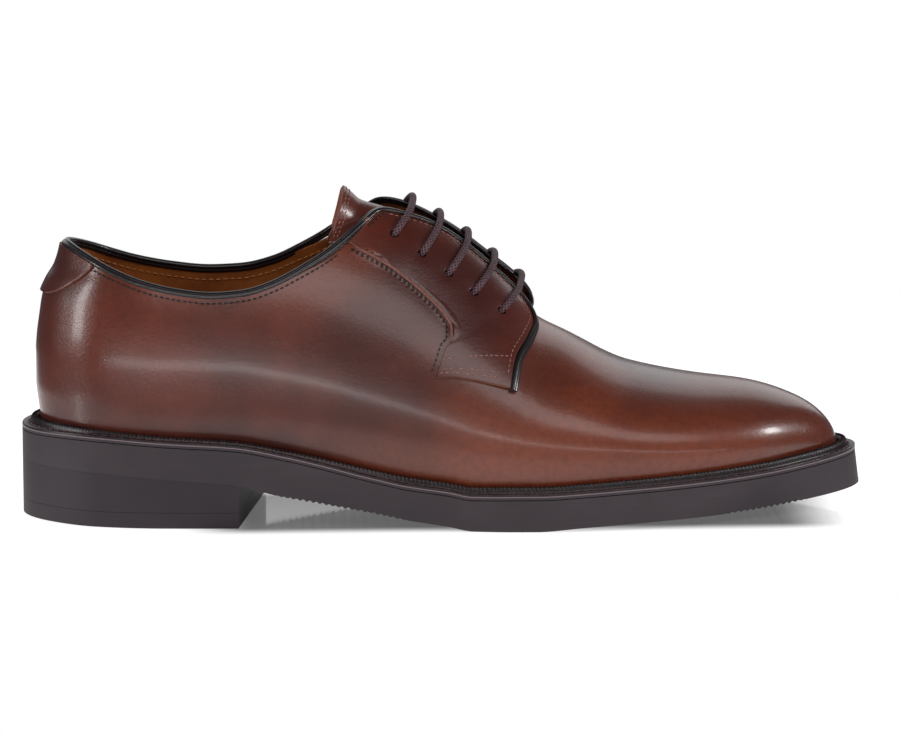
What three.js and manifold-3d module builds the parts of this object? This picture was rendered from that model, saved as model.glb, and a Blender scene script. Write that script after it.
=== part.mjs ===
// A plain derby shoe for the right foot, lasted on a welt and a rubber sole.
// Millimetres, +X to the toe, -Y to the outer side of the foot, +Z up, standing on z = 0.
import * as THREE from 'three';
import { mergeVertices } from 'three/addons/utils/BufferGeometryUtils.js';
import Module from 'manifold-3d';

const wasm = await Module();
wasm.setup();

// Driving dimensions
const shoeLength = 305;
const ballWidth = 87;
const instepHeight = 112;
const backHeight = 100.3;
const backLean = 11.4;
const backTuck = 1.3;
const heelHeight = 20.3;
const heelLength = 84;
const heelWidth = 70;
const heelSlant = 11;
const topPieceThickness = 5.6;
const soleThickness = 11.3;
const toeDraft = 1.5;
const sideReach = 6;
const heelReach = 6.6;
const toeReach = 6.7;
const wall = 2;
const fit = 0.3;
const weltThickness = 2.2;
const weltGap = 0.6;
const ribWidth = 3;
const ribHeight = 4.2;
const facingThickness = 1.7;
const tabThickness = 1.2;
const bindingHeight = 3;
const bindingGrip = 0.7;
const tongueThickness = 2;
const insoleThickness = 3;
const laceDiameter = 2.6;
const eyeletDiameter = 3.4;
const creaseHeight = 2.5;
const tabDepth = 19;
const tabEndDepth = 2;
const facingRise = 2;
const tongueCrown = 5.6;
const tongueTopWidth = 26;
const tongueFrontWidth = 15;
const tongueDrop = 0.6;

// Room left between pieces that meet
const boundClear = 1.5 * fit;
const collarClear = 2.5 * fit;
const cornerClear = 3.5 * fit;

// Forms as shares: the last's widest turn and tuck, how far the back curve reaches, the welt's
// rib, the heel tab's span, how far the throat runs down the facing and where the facing's lift
// fades out round the section
const widestTurn = 0.25;
const tuckShare = 0.45;
const backCurveReach = 0.22;
const ribIn = 0.45;
const ribOut = 0.85;
const ribShoulder = 0.8;
const ribBack = 0.85;
const weltEdgeDrop = 0.18;
const tabHalfSpan = 0.056;
const throatRow = 0.62;
const throatFloor = 0.4;
const liftFrom = 0.12;
const liftTo = 0.50;
const middleShift = -0.017;

// How finely the curved forms are cut into flat faces
const lastStations = 34;
const lastTurns = 15;
const outlineStations = 34;
const toplineSteps = 40;
const throatSteps = 24;
const facingRows = 20;
const facingColumns = 6;
const tabColumns = 6;
const tabRows = 4;
const tongueRows = 14;
const tongueColumns = 5;
const laceSteps = 9;
const cordCorners = 6;
const eyeletCorners = 10;
const collarCount = 32;
const cornerCount = 3;
const edgeCount = 20;

// How far to either side a slope is taken, and how deep a cutter runs past what it cuts
const probe = 0.001;
const girthSteps = 60;
const outlineProbe = 0.02;
const rowProbe = 0.01;
const overlap = 0.01;

const lateral = -1;
const medial = 1;
const sides = [lateral, medial];
const upperStart = heelReach - backTuck;
const upperLength = shoeLength - upperStart - toeReach;

// The sole from heel to toe: underside as a share of heelHeight, thickness of soleThickness
const soleTable = [
  { at: 0.00, under: 1.000, thick: 0.90 },
  { at: 0.07, under: 0.975, thick: 0.99 },
  { at: 0.18, under: 0.862, thick: 1.03 },
  { at: 0.25, under: 0.768, thick: 1.08 },
  { at: 0.31, under: 0.547, thick: 1.17 },
  { at: 0.36, under: 0.409, thick: 1.09 },
  { at: 0.41, under: 0.281, thick: 0.99 },
  { at: 0.45, under: 0.172, thick: 0.96 },
  { at: 0.50, under: 0.075, thick: 0.97 },
  { at: 0.53, under: 0.000, thick: 0.98 },
  { at: 0.605, under: 0.000, thick: 1.00 },
  { at: 0.66, under: 0.064, thick: 0.96 },
  { at: 0.73, under: 0.118, thick: 0.96 },
  { at: 0.80, under: 0.167, thick: 0.97 },
  { at: 0.86, under: 0.217, thick: 0.98 },
  { at: 0.93, under: 0.296, thick: 0.98 },
  { at: 1.00, under: 0.369, thick: 1.03 },
];

// The last's widths, station by station, as shares of ballWidth: the feather line on both
// sides, how much further the widest part stands out and where the ridge leans
const widthTable = [
  { at: 0.00, outer: 0.000, inner: 0.000, outerSpring: 0.000, innerSpring: 0.000, lean: 0.000 },
  { at: 0.03, outer: 0.195, inner: 0.184, outerSpring: 0.012, innerSpring: 0.012, lean: -0.003 },
  { at: 0.08, outer: 0.305, inner: 0.268, outerSpring: 0.018, innerSpring: 0.018, lean: -0.010 },
  { at: 0.15, outer: 0.356, inner: 0.294, outerSpring: 0.024, innerSpring: 0.030, lean: -0.025 },
  { at: 0.24, outer: 0.368, inner: 0.282, outerSpring: 0.030, innerSpring: 0.052, lean: -0.030 },
  { at: 0.33, outer: 0.368, inner: 0.253, outerSpring: 0.036, innerSpring: 0.086, lean: 0.000 },
  { at: 0.42, outer: 0.402, inner: 0.250, outerSpring: 0.040, innerSpring: 0.104, lean: 0.030 },
  { at: 0.50, outer: 0.454, inner: 0.293, outerSpring: 0.040, innerSpring: 0.086, lean: 0.050 },
  { at: 0.58, outer: 0.498, inner: 0.374, outerSpring: 0.034, innerSpring: 0.058, lean: 0.060 },
  { at: 0.62, outer: 0.504, inner: 0.418, outerSpring: 0.029, innerSpring: 0.045, lean: 0.063 },
  { at: 0.66, outer: 0.506, inner: 0.454, outerSpring: 0.024, innerSpring: 0.034, lean: 0.065 },
  { at: 0.74, outer: 0.475, inner: 0.492, outerSpring: 0.018, innerSpring: 0.023, lean: 0.069 },
  { at: 0.82, outer: 0.414, inner: 0.448, outerSpring: 0.014, innerSpring: 0.017, lean: 0.063 },
  { at: 0.89, outer: 0.322, inner: 0.356, outerSpring: 0.012, innerSpring: 0.012, lean: 0.052 },
  { at: 0.95, outer: 0.190, inner: 0.230, outerSpring: 0.007, innerSpring: 0.007, lean: 0.040 },
  { at: 1.00, outer: -0.034, inner: 0.034, outerSpring: 0.000, innerSpring: 0.000, lean: 0.034 },
];

// Its heights as shares of instepHeight: where the side is widest, above the feather line, and
// the ridge. Side and top say how full the section is under the ridge.
const heightTable = [
  { at: 0.00, rise: 0.200, ridge: 0.965, side: 0.55, top: 0.55 },
  { at: 0.03, rise: 0.205, ridge: 0.985, side: 0.55, top: 0.55 },
  { at: 0.08, rise: 0.215, ridge: 1.010, side: 0.55, top: 0.55 },
  { at: 0.15, rise: 0.230, ridge: 1.000, side: 0.55, top: 0.55 },
  { at: 0.24, rise: 0.240, ridge: 1.000, side: 0.55, top: 0.55 },
  { at: 0.33, rise: 0.240, ridge: 1.035, side: 0.52, top: 0.50 },
  { at: 0.42, rise: 0.232, ridge: 1.008, side: 0.50, top: 0.45 },
  { at: 0.50, rise: 0.205, ridge: 0.907, side: 0.50, top: 0.45 },
  { at: 0.58, rise: 0.170, ridge: 0.726, side: 0.50, top: 0.48 },
  { at: 0.62, rise: 0.156, ridge: 0.622, side: 0.51, top: 0.50 },
  { at: 0.66, rise: 0.142, ridge: 0.566, side: 0.52, top: 0.52 },
  { at: 0.74, rise: 0.116, ridge: 0.463, side: 0.55, top: 0.55 },
  { at: 0.82, rise: 0.094, ridge: 0.420, side: 0.58, top: 0.58 },
  { at: 0.89, rise: 0.080, ridge: 0.397, side: 0.60, top: 0.60 },
  { at: 0.95, rise: 0.060, ridge: 0.347, side: 0.60, top: 0.60 },
  { at: 1.00, rise: 0.000, ridge: 0.188, side: 0.60, top: 0.60 },
];

// The back of the heel: height as a share of backHeight, set-in as a share of backLean
const backTable = [
  { height: 0.36, inward: 0.114 },
  { height: 0.40, inward: 0.070 },
  { height: 0.48, inward: 0.000 },
  { height: 0.59, inward: 0.000 },
  { height: 0.65, inward: 0.035 },
  { height: 0.72, inward: 0.120 },
  { height: 0.80, inward: 0.240 },
  { height: 0.845, inward: 0.410 },
  { height: 0.905, inward: 0.720 },
  { height: 0.975, inward: 0.900 },
  { height: 1.25, inward: 1.230 },
];

// The topline: middle of the binding, as shares of shoeLength and backHeight
const toplineTable = [
  { at: 0.050, outer: 0.989, inner: 0.989 },
  { at: 0.075, outer: 0.954, inner: 0.962 },
  { at: 0.100, outer: 0.919, inner: 0.931 },
  { at: 0.140, outer: 0.873, inner: 0.891 },
  { at: 0.180, outer: 0.844, inner: 0.866 },
  { at: 0.225, outer: 0.829, inner: 0.851 },
  { at: 0.265, outer: 0.838, inner: 0.856 },
  { at: 0.300, outer: 0.870, inner: 0.882 },
  { at: 0.330, outer: 0.913, inner: 0.922 },
  { at: 0.360, outer: 0.960, inner: 0.964 },
  { at: 0.383, outer: 1.005, inner: 1.008 },
];

// The facing as a flat pattern, row by row from its top corner to the foot of its tab. The
// front is the middle of its bound edge. At is a share of shoeLength, girth, from the middle
// line of the instep round the section, a share of ballWidth.
const facingTable = [
  { row: 0.0, frontAt: 0.405, frontGirth: 0.200, rearAt: 0.383, rearGirth: 0.292 },
  { row: 0.1, frontAt: 0.428, frontGirth: 0.105, rearAt: 0.400, rearGirth: 0.325 },
  { row: 0.2, frontAt: 0.453, frontGirth: 0.092, rearAt: 0.423, rearGirth: 0.358 },
  { row: 0.3, frontAt: 0.490, frontGirth: 0.078, rearAt: 0.450, rearGirth: 0.400 },
  { row: 0.4, frontAt: 0.533, frontGirth: 0.076, rearAt: 0.478, rearGirth: 0.445 },
  { row: 0.5, frontAt: 0.570, frontGirth: 0.080, rearAt: 0.496, rearGirth: 0.485 },
  { row: 0.6, frontAt: 0.594, frontGirth: 0.125, rearAt: 0.506, rearGirth: 0.535 },
  { row: 0.7, frontAt: 0.604, frontGirth: 0.205, rearAt: 0.506, rearGirth: 0.585 },
  { row: 0.8, frontAt: 0.597, frontGirth: 0.330, rearAt: 0.499, rearGirth: 0.635 },
  { row: 0.9, frontAt: 0.583, frontGirth: 0.490, rearAt: 0.494, rearGirth: 0.695 },
  { row: 1.0, frontAt: 0.577, frontGirth: 0.635, rearAt: 0.487, rearGirth: 0.775 },
];

// How far each facing stands off the vamp beside the throat, as a share of facingRise
const liftTable = [
  { row: 0.0, outer: 0.00, inner: 0.40 },
  { row: 0.1, outer: 0.00, inner: 0.90 },
  { row: 0.2, outer: 0.30, inner: 1.10 },
  { row: 0.3, outer: 1.00, inner: 1.00 },
  { row: 0.4, outer: 1.00, inner: 1.10 },
  { row: 0.5, outer: 1.00, inner: 1.70 },
  { row: 0.6, outer: 1.10, inner: 1.90 },
  { row: 0.7, outer: 0.80, inner: 1.40 },
  { row: 0.8, outer: 0.40, inner: 0.50 },
  { row: 0.9, outer: 0.00, inner: 0.00 },
];

// Eyelets and the crown of each lace bar, as shares of shoeLength and ballWidth
const laceTable = [
  { eyeletAt: 0.441, girth: 0.224, crownAt: 0.459 },
  { eyeletAt: 0.472, girth: 0.268, crownAt: 0.490 },
  { eyeletAt: 0.503, girth: 0.297, crownAt: 0.521 },
  { eyeletAt: 0.532, girth: 0.310, crownAt: 0.551 },
  { eyeletAt: 0.564, girth: 0.297, crownAt: 0.581 },
];

// The tongue from its free end to its root: at and sweep are shares of shoeLength, rise of
// tongueCrown, and crown says how wide the raised middle is
const tongueTable = [
  { row: 0.00, at: 0.385, sweep: 0.020, rise: 1.00, crown: 0.60 },
  { row: 0.20, at: 0.405, sweep: 0.016, rise: 0.50, crown: 0.50 },
  { row: 0.40, at: 0.445, sweep: 0.010, rise: 0.60, crown: 0.42 },
  { row: 0.72, at: 0.541, sweep: 0.003, rise: 0.60, crown: 0.42 },
  { row: 0.84, at: 0.577, sweep: 0.001, rise: 0.00, crown: 0.42 },
  { row: 1.00, at: 0.625, sweep: 0.000, rise: 0.00, crown: 0.42 },
];

// The welt's storm rib along the shoe, as a share of ribHeight
const ribTable = [
  { at: 0.00, rib: 1.10 },
  { at: 0.12, rib: 0.80 },
  { at: 0.28, rib: 0.72 },
  { at: 0.45, rib: 0.95 },
  { at: 0.70, rib: 1.00 },
  { at: 1.00, rib: 1.14 },
];

// Tables and curves

function slopes(xs, ys) {
  const steps = xs.slice(1).map((x, i) => x - xs[i]);
  const rates = steps.map((step, i) => (ys[i + 1] - ys[i]) / step);
  const inner = rates.slice(1).map((rate, i) => {
    if (rate * rates[i] <= 0) return 0;
    const early = 2 * steps[i + 1] + steps[i];
    const late = steps[i + 1] + 2 * steps[i];
    return (early + late) / (early / rates[i] + late / rate);
  });
  return [rates[0], ...inner, rates[rates.length - 1]];
}

// A smooth reading of one column that never overshoots its rows
function reader(table, key, column, spread = (value) => value) {
  const xs = table.map((row) => spread(row[key]));
  const ys = table.map((row) => row[column]);
  const tangents = slopes(xs, ys);
  return (place) => {
    const x = THREE.MathUtils.clamp(spread(place), xs[0], xs[xs.length - 1]);
    let i = xs.findIndex((edge) => edge > x) - 1;
    if (i < 0) i = xs.length - 2;
    const step = xs[i + 1] - xs[i];
    const t = (x - xs[i]) / step;
    return (1 + 2 * t) * (1 - t) ** 2 * ys[i] + t * (1 - t) ** 2 * step * tangents[i]
      + t * t * (3 - 2 * t) * ys[i + 1] + t * t * (t - 1) * step * tangents[i + 1];
  };
}

const angleOf = (at) => Math.acos(1 - 2 * THREE.MathUtils.clamp(at, 0, 1));
const atOf = (angle) => (1 - Math.cos(angle)) / 2;
const lastWidth = (column) => reader(widthTable, 'at', column, angleOf);
const lastHeight = (column) => reader(heightTable, 'at', column, angleOf);
const last = {
  feather: { [lateral]: lastWidth('outer'), [medial]: lastWidth('inner') },
  spring: { [lateral]: lastWidth('outerSpring'), [medial]: lastWidth('innerSpring') },
  rise: lastHeight('rise'),
  ridge: lastHeight('ridge'),
  lean: lastWidth('lean'),
  side: lastHeight('side'),
  top: lastHeight('top'),
};
const underShare = reader(soleTable, 'at', 'under');
const thickShare = reader(soleTable, 'at', 'thick');
const inwardShare = reader(backTable, 'height', 'inward');
const toplineShare = {
  [lateral]: reader(toplineTable, 'at', 'outer'),
  [medial]: reader(toplineTable, 'at', 'inner'),
};

const soleUnder = (x) => heelHeight * underShare(x / shoeLength);
const soleTop = (x) => soleUnder(x) + soleThickness * thickShare(x / shoeLength);
const topline = (x, side) => backHeight * toplineShare[side](x / shoeLength);
const stationOf = (x) => (x - upperStart) / upperLength;
const smooth = (from, to, value) => THREE.MathUtils.smoothstep(value, from, to);

// The last's surface: at runs heel to toe, turn from the feather line round to the ridge
function lastSurface(at, side, turn) {
  const x = upperStart + upperLength * at;
  const featherY = side * ballWidth * last.feather[side](at);
  const featherZ = soleTop(x) + fit;
  const widestY = featherY + side * ballWidth * last.spring[side](at);
  const rise = instepHeight * last.rise(at);
  const widestZ = featherZ + rise;
  const ridgeY = ballWidth * last.lean(at);
  const ridgeZ = Math.max(instepHeight * last.ridge(at), widestZ);
  const a = Math.min(turn / widestTurn, 1);
  const b = Math.max((turn - widestTurn) / (1 - widestTurn), 0);
  let y = (1 - a) ** 2 * featherY + (2 * a * (1 - a) + a * a) * widestY;
  let z = featherZ + 2 * a * (1 - a) * rise * tuckShare + a * a * rise;
  if (turn > widestTurn) {
    const sideZ = widestZ + (ridgeZ - widestZ) * last.side(at);
    const topY = ridgeY + (widestY - ridgeY) * last.top(at);
    y = ((1 - b) ** 3 + 3 * b * (1 - b) ** 2) * widestY + 3 * b * b * (1 - b) * topY + b ** 3 * ridgeY;
    z = (1 - b) ** 3 * widestZ + 3 * b * (1 - b) ** 2 * sideZ + (3 * b * b * (1 - b) + b ** 3) * ridgeZ;
  }
  const hold = Math.max(1 - at / backCurveReach, 0) ** 2;
  return new THREE.Vector3(x + backLean * inwardShare(z / backHeight) * hold, y, z);
}

function oneNormal(at, side, turn) {
  const angle = angleOf(at);
  const ahead = lastSurface(atOf(Math.min(angle + probe, Math.PI)), side, turn);
  const along = ahead.sub(lastSurface(atOf(Math.max(angle - probe, 0)), side, turn));
  const over = turn >= 1
    ? new THREE.Vector3(0, -side, 0)
    : lastSurface(at, side, turn + probe).sub(lastSurface(at, side, Math.max(turn - probe, 0)));
  return along.cross(over).multiplyScalar(-side).normalize();
}

// On the seams that both sides share, the two normals are joined into one
function lastNormal(at, side, turn) {
  const normal = oneNormal(at, side, turn);
  if (at > 0 && at < 1 && turn < 1) return normal;
  return normal.add(oneNormal(at, -side, turn)).normalize();
}

const offLast = (at, side, turn, off) =>
  lastSurface(at, side, turn).addScaledVector(lastNormal(at, side, turn), off);

function solve(test, from, to) {
  let low = from;
  let high = to;
  for (let i = 0; i < 40; i += 1) {
    const middle = (low + high) / 2;
    if (test(middle)) low = middle;
    else high = middle;
  }
  return (low + high) / 2;
}

const turnAtHeight = (at, side, height) =>
  solve((turn) => lastSurface(at, side, turn).z < height, 0, 1);

// The pattern's place: x from the heel and girth from the instep's middle line
const middleAt = (x) => ballWidth * (last.lean(stationOf(x)) + middleShift);

function patternPlace(x, side, girth) {
  const at = stationOf(x);
  const wanted = Math.max(girth - side * middleAt(x), 0);
  let walked = 0;
  let turn = 1;
  let here = lastSurface(at, side, 1);
  for (let i = 1; i <= girthSteps; i += 1) {
    const next = lastSurface(at, side, 1 - i / girthSteps);
    const step = next.distanceTo(here);
    if (walked + step >= wanted) {
      turn -= (wanted - walked) / step / girthSteps;
      break;
    }
    walked += step;
    turn = 1 - i / girthSteps;
    here = next;
  }
  return { at, side, turn: Math.max(turn, 0) };
}

const onPattern = (x, side, girth, off) => {
  const place = patternPlace(x, side, girth);
  return offLast(place.at, side, place.turn, off);
};

// Meshes and solids

function geometryOf(points, triangles) {
  const geometry = new THREE.BufferGeometry();
  geometry.setAttribute('position', new THREE.Float32BufferAttribute(points.flatMap((p) => p.toArray()), 3));
  geometry.setIndex(triangles.flat());
  return geometry;
}

function cleaned(geometry) {
  const bare = geometry.clone();
  bare.deleteAttribute('normal');
  bare.deleteAttribute('uv');
  const merged = mergeVertices(bare, 1e-4);
  const index = merged.index.array;
  const kept = [];
  for (let i = 0; i < index.length; i += 3) {
    const [a, b, c] = [index[i], index[i + 1], index[i + 2]];
    if (a !== b && b !== c && c !== a) kept.push(a, b, c);
  }
  merged.setIndex(kept);
  return merged;
}

function solidOf(geometry) {
  const bare = cleaned(geometry);
  return new wasm.Manifold(new wasm.Mesh({
    numProp: 3,
    vertProperties: new Float32Array(bare.attributes.position.array),
    triVerts: new Uint32Array(bare.index.array),
  }));
}

function geometryFrom(solid) {
  const { vertProperties, triVerts } = solid.getMesh();
  const geometry = new THREE.BufferGeometry();
  geometry.setAttribute('position', new THREE.BufferAttribute(new Float32Array(vertProperties), 3));
  geometry.setIndex([...triVerts]);
  return geometry;
}

// Quads between neighbouring rows of points; a closed ring joins its last row to its first
function skin(rows, closed, start = 0) {
  const width = rows[0].length;
  const triangles = [];
  const spans = closed ? rows.length : rows.length - 1;
  for (let i = 0; i < spans; i += 1) {
    const near = start + i * width;
    const far = start + ((i + 1) % rows.length) * width;
    for (let j = 0; j + 1 < width; j += 1) {
      triangles.push([near + j, far + j, far + j + 1], [near + j, far + j + 1, near + j + 1]);
    }
  }
  return triangles;
}

// A sheet with two faces and its rim: outer rows first, then the same rows of the inner face
function plate(outer, inner, flip) {
  const width = outer[0].length;
  const rows = outer.map((row, i) => [...row, ...[...inner[i]].reverse(), row[0]]);
  const points = rows.flat();
  const triangles = skin(rows, false);
  const span = 2 * width + 1;
  [0, (rows.length - 1) * span].forEach((start, end) => {
    for (let j = 0; j + 1 < width; j += 1) {
      const [a, b, c, d] = [start + j, start + j + 1, start + 2 * width - 2 - j, start + 2 * width - 1 - j];
      const pair = [[a, b, c], [a, c, d]];
      triangles.push(...(end === 0 ? pair : pair.map((t) => [t[0], t[2], t[1]])));
    }
  });
  return geometryOf(points, flip ? triangles.map((t) => [t[0], t[2], t[1]]) : triangles);
}

// A tube of closed sections with flat ends
function tube(sections) {
  const rows = sections.map((section) => [...section, section[0]]);
  const triangles = skin(rows, false);
  const width = rows[0].length;
  const count = width - 1;
  const end = (rows.length - 1) * width;
  for (let j = 1; j + 1 < count; j += 1) {
    triangles.push([0, j, j + 1], [end, end + j + 1, end + j]);
  }
  return geometryOf(rows.flat(), triangles);
}

// The last as a closed form, moved out by off and carried down below the feather line by drop
function lastForm(off, drop) {
  const turns = Array.from({ length: lastTurns }, (_, i) => i / (lastTurns - 1));
  const rows = [];
  for (let i = 0; i <= lastStations; i += 1) {
    const at = atOf((Math.PI * i) / lastStations);
    const outer = turns.map((turn) => offLast(at, lateral, turn, off));
    const inner = turns.map((turn) => offLast(at, medial, turn, off));
    const lowered = (foot) => new THREE.Vector3(foot.x, foot.y, soleTop(foot.x) + fit - drop);
    const feet = [lowered(outer[0]), lowered(inner[0])];
    rows.push([feet[0], ...outer, ...inner.reverse().slice(1), feet[1], feet[0]]);
  }
  return solidOf(geometryOf(rows.flat(), skin(rows, false)));
}

// Outlines in plan, from the crease where the upper meets the welt

function flank(at, side, height) {
  const rise = instepHeight * last.rise(at);
  const foot = soleTop(upperStart + upperLength * at) + fit;
  if (height >= rise) return lastSurface(at, side, widestTurn);
  return lastSurface(at, side, turnAtHeight(at, side, foot + height));
}

// One point for each station, heel to toe outside and back inside, moved out in plan
function outline(height, reach) {
  const places = [];
  for (let i = 0; i < outlineStations; i += 1) places.push([(Math.PI * i) / outlineStations, lateral]);
  for (let i = outlineStations; i > 0; i -= 1) places.push([(Math.PI * i) / outlineStations, medial]);
  return places.map(([angle, side]) => {
    const at = atOf(angle);
    const here = flank(at, side, height);
    const before = flank(atOf(Math.max(angle - outlineProbe, 0)), side, height);
    const after = flank(atOf(Math.min(angle + outlineProbe, Math.PI)), side, height);
    const along = after.sub(before);
    const out = new THREE.Vector3(-side * along.y, side * along.x, 0);
    if (at === 0) out.set(-1, 0, 0);
    if (at === 1) out.set(1, 0, 0);
    return here.addScaledVector(out.normalize(), reach(at));
  });
}

const soleReach = (at) => sideReach
  + (heelReach - sideReach) * Math.max(1 - at / 0.1, 0)
  + (toeReach - sideReach) * Math.max((at - 0.85) / 0.15, 0);
const underReach = (at) => soleReach(at) + toeDraft * smooth(0.85, 1, at);

// A slab of the sole's outline between two heights that follow its length
function slab(topRing, underRing, topZ, underZ) {
  const half = outlineStations;
  const rows = [];
  for (let i = 0; i <= half; i += 1) {
    const outer = i === half ? half : i;
    const inner = i === 0 ? 0 : 2 * half - i;
    const at = (ring, k, z) => new THREE.Vector3(ring[k].x, ring[k].y, z(ring[k].x));
    const [a, b, c, d] = [at(topRing, outer, topZ), at(topRing, inner, topZ),
      at(underRing, inner, underZ), at(underRing, outer, underZ)];
    rows.push([a, b, c, d, a]);
  }
  return geometryOf(rows.flat(), skin(rows, false));
}

const soleRing = outline(creaseHeight, soleReach);
const soleUnderRing = outline(creaseHeight, underReach);

function makeOutsole() {
  return slab(soleRing, soleUnderRing, soleTop, soleUnder);
}

// The heel's plan is the sole's own outline, cut off by a slanting breast
function heelPrism(low, high) {
  const shape = new THREE.Shape(soleUnderRing.map((p) => new THREE.Vector2(p.x, p.y)));
  const depth = high - low;
  const whole = new THREE.ExtrudeGeometry(shape, { depth, bevelEnabled: false });
  const prism = solidOf(whole.translate(0, 0, low));
  const width = 2 * ballWidth;
  const breast = (y) => heelLength + (heelSlant * y) / heelWidth;
  const front = new THREE.Shape([
    new THREE.Vector2(breast(-width / 2), -width / 2),
    new THREE.Vector2(2 * shoeLength, -width / 2),
    new THREE.Vector2(2 * shoeLength, width / 2),
    new THREE.Vector2(breast(width / 2), width / 2),
  ]);
  const cutter = new THREE.ExtrudeGeometry(front, { depth: 2 * depth, bevelEnabled: false });
  return prism.subtract(solidOf(cutter.translate(0, 0, low - depth / 2)));
}

function makeHeelBlock() {
  const wide = outline(creaseHeight, (at) => soleReach(at) + sideReach);
  const above = slab(wide, wide, () => instepHeight, (x) => soleUnder(x) - fit);
  const block = heelPrism(topPieceThickness + fit, heelHeight + soleThickness);
  return geometryFrom(block.subtract(solidOf(above)));
}

const makeTopPiece = () => geometryFrom(heelPrism(0, topPieceThickness));

// The welt lies on the sole's edge, with a rounded storm rib up against the upper
const ribShare = reader(ribTable, 'at', 'rib');

function makeWelt() {
  const foot = outline(0, () => weltGap);
  const crease = outline(creaseHeight, () => weltGap);
  const crown = outline(ribHeight, () => weltGap);
  const inRing = outline(creaseHeight, () => fit + ribWidth * ribIn);
  const outRing = outline(creaseHeight, () => fit + ribWidth * ribOut);
  const footRing = outline(creaseHeight, () => fit + ribWidth);
  const edgeDrop = weltThickness * weltEdgeDrop;
  const lip = outline(creaseHeight, (at) => soleReach(at) - edgeDrop);
  const rows = soleRing.map((edge, i) => {
    const lift = (p, height) => new THREE.Vector3(p.x, p.y, soleTop(p.x) + fit + height);
    const wide = (p, q) => (p.distanceTo(inRing[i]) < q.distanceTo(inRing[i]) ? p : q);
    const high = ribHeight * ribShare(edge.x / shoeLength);
    return [
      lift(foot[i], 0),
      lift(crease[i], creaseHeight * ribShoulder),
      lift(wide(crown[i], crease[i]), high * ribBack),
      lift(inRing[i], high),
      lift(outRing[i], high * ribShoulder),
      lift(footRing[i], weltThickness),
      lift(lip[i], weltThickness),
      lift(edge, weltThickness - edgeDrop),
      lift(edge, 0),
      lift(foot[i], 0),
    ];
  });
  return geometryOf(rows.flat(), skin(rows, true).map((t) => [t[0], t[2], t[1]]));
}

function makeInsole() {
  const inside = outline(0, () => -wall - 2 * fit);
  const clear = (x) => soleTop(x) + fit;
  return slab(inside, inside, (x) => clear(x) + insoleThickness, clear);
}

// The collar: everything above the topline comes off, less the height that the binding takes

function toplineRow(side, drop) {
  const points = [];
  const first = shoeLength * toplineTable[0].at;
  const end = shoeLength * toplineTable[toplineTable.length - 1].at;
  const step = (end - first) / toplineSteps;
  for (let i = 0; i <= toplineSteps; i += 1) {
    const x = first + step * i;
    const slope = (topline(x + step / 2, side) - topline(x - step / 2, side)) / step;
    const length = Math.hypot(1, slope);
    points.push(new THREE.Vector2(x + (drop * slope) / length, topline(x, side) - drop / length));
  }
  return points;
}

function collarCutter(side) {
  const row = toplineRow(side, bindingHeight / 2 + collarClear);
  const sky = 2 * instepHeight;
  const shape = new THREE.Shape([
    new THREE.Vector2(-backLean, row[0].y),
    ...row,
    new THREE.Vector2(row[row.length - 1].x, sky),
    new THREE.Vector2(-backLean, sky),
  ]);
  const deep = ballWidth;
  const cutter = new THREE.ExtrudeGeometry(shape, { depth: deep, bevelEnabled: false }).rotateX(Math.PI / 2);
  return solidOf(cutter.translate(0, side === medial ? deep - overlap : overlap, 0));
}

const facingColumn = (column) => reader(facingTable, 'row', column);
const facingFrontAt = facingColumn('frontAt');
const facingFrontGirth = facingColumn('frontGirth');
const facingRearAt = facingColumn('rearAt');
const facingRearGirth = facingColumn('rearGirth');
const facingFront = (row) =>
  new THREE.Vector2(shoeLength * facingFrontAt(row), ballWidth * facingFrontGirth(row));
const facingRear = (row) =>
  new THREE.Vector2(shoeLength * facingRearAt(row), ballWidth * facingRearGirth(row));

// Where the topline meets the facing's top corner, on the pattern
const joinX = shoeLength * facingTable[0].rearAt;

function girthAtHeight(x, side, height) {
  return solve((girth) => onPattern(x, side, girth, 0).z > height, 0, ballWidth);
}

const collarCorner = (side) => new THREE.Vector2(joinX, girthAtHeight(joinX, side, topline(joinX, side)));

// The same corner, moved in square to the facing's top edge by the width that the binding takes
function leatherCorner(side) {
  const corner = collarCorner(side);
  const along = facingFront(0).sub(corner).normalize();
  return corner.addScaledVector(new THREE.Vector2(-along.y, along.x), bindingHeight / 2 + cornerClear);
}

// The bound edge's middle moved in by the width that the binding takes
function facingEdge(row) {
  const here = facingFront(row);
  const along = facingFront(Math.min(row + rowProbe, 1)).sub(facingFront(Math.max(row - rowProbe, 0)));
  const inward = new THREE.Vector2(-along.y, along.x).normalize();
  return here.addScaledVector(inward, bindingHeight / 2 + boundClear);
}

// How far the facing stands off the vamp: most beside the throat, nothing at its rear seam
const liftShare = {
  [lateral]: reader(liftTable, 'row', 'outer'),
  [medial]: reader(liftTable, 'row', 'inner'),
};

function facingLift(side, row, girth) {
  const near = 1 - smooth(liftFrom, liftTo, girth / ballWidth);
  return facingRise * liftShare[side](row) * near;
}

function facingPlate(side) {
  const cornerShift = leatherCorner(side).sub(facingRear(0));
  const cornerReach = 0.3;
  const faces = [[], []];
  for (let i = 0; i <= facingRows; i += 1) {
    const row = i / facingRows;
    const front = facingEdge(row);
    const rear = facingRear(row).addScaledVector(cornerShift, 1 - smooth(0, cornerReach, row));
    const lines = [[], []];
    for (let j = 0; j <= facingColumns; j += 1) {
      const spot = front.clone().lerp(rear, j / facingColumns);
      const lift = fit + facingLift(side, row, spot.y);
      lines[0].push(onPattern(spot.x, side, spot.y, lift + facingThickness));
      lines[1].push(onPattern(spot.x, side, spot.y, lift));
    }
    faces[0].push(lines[0]);
    faces[1].push(lines[1]);
  }
  return plate(faces[0], faces[1], side === lateral);
}

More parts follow.
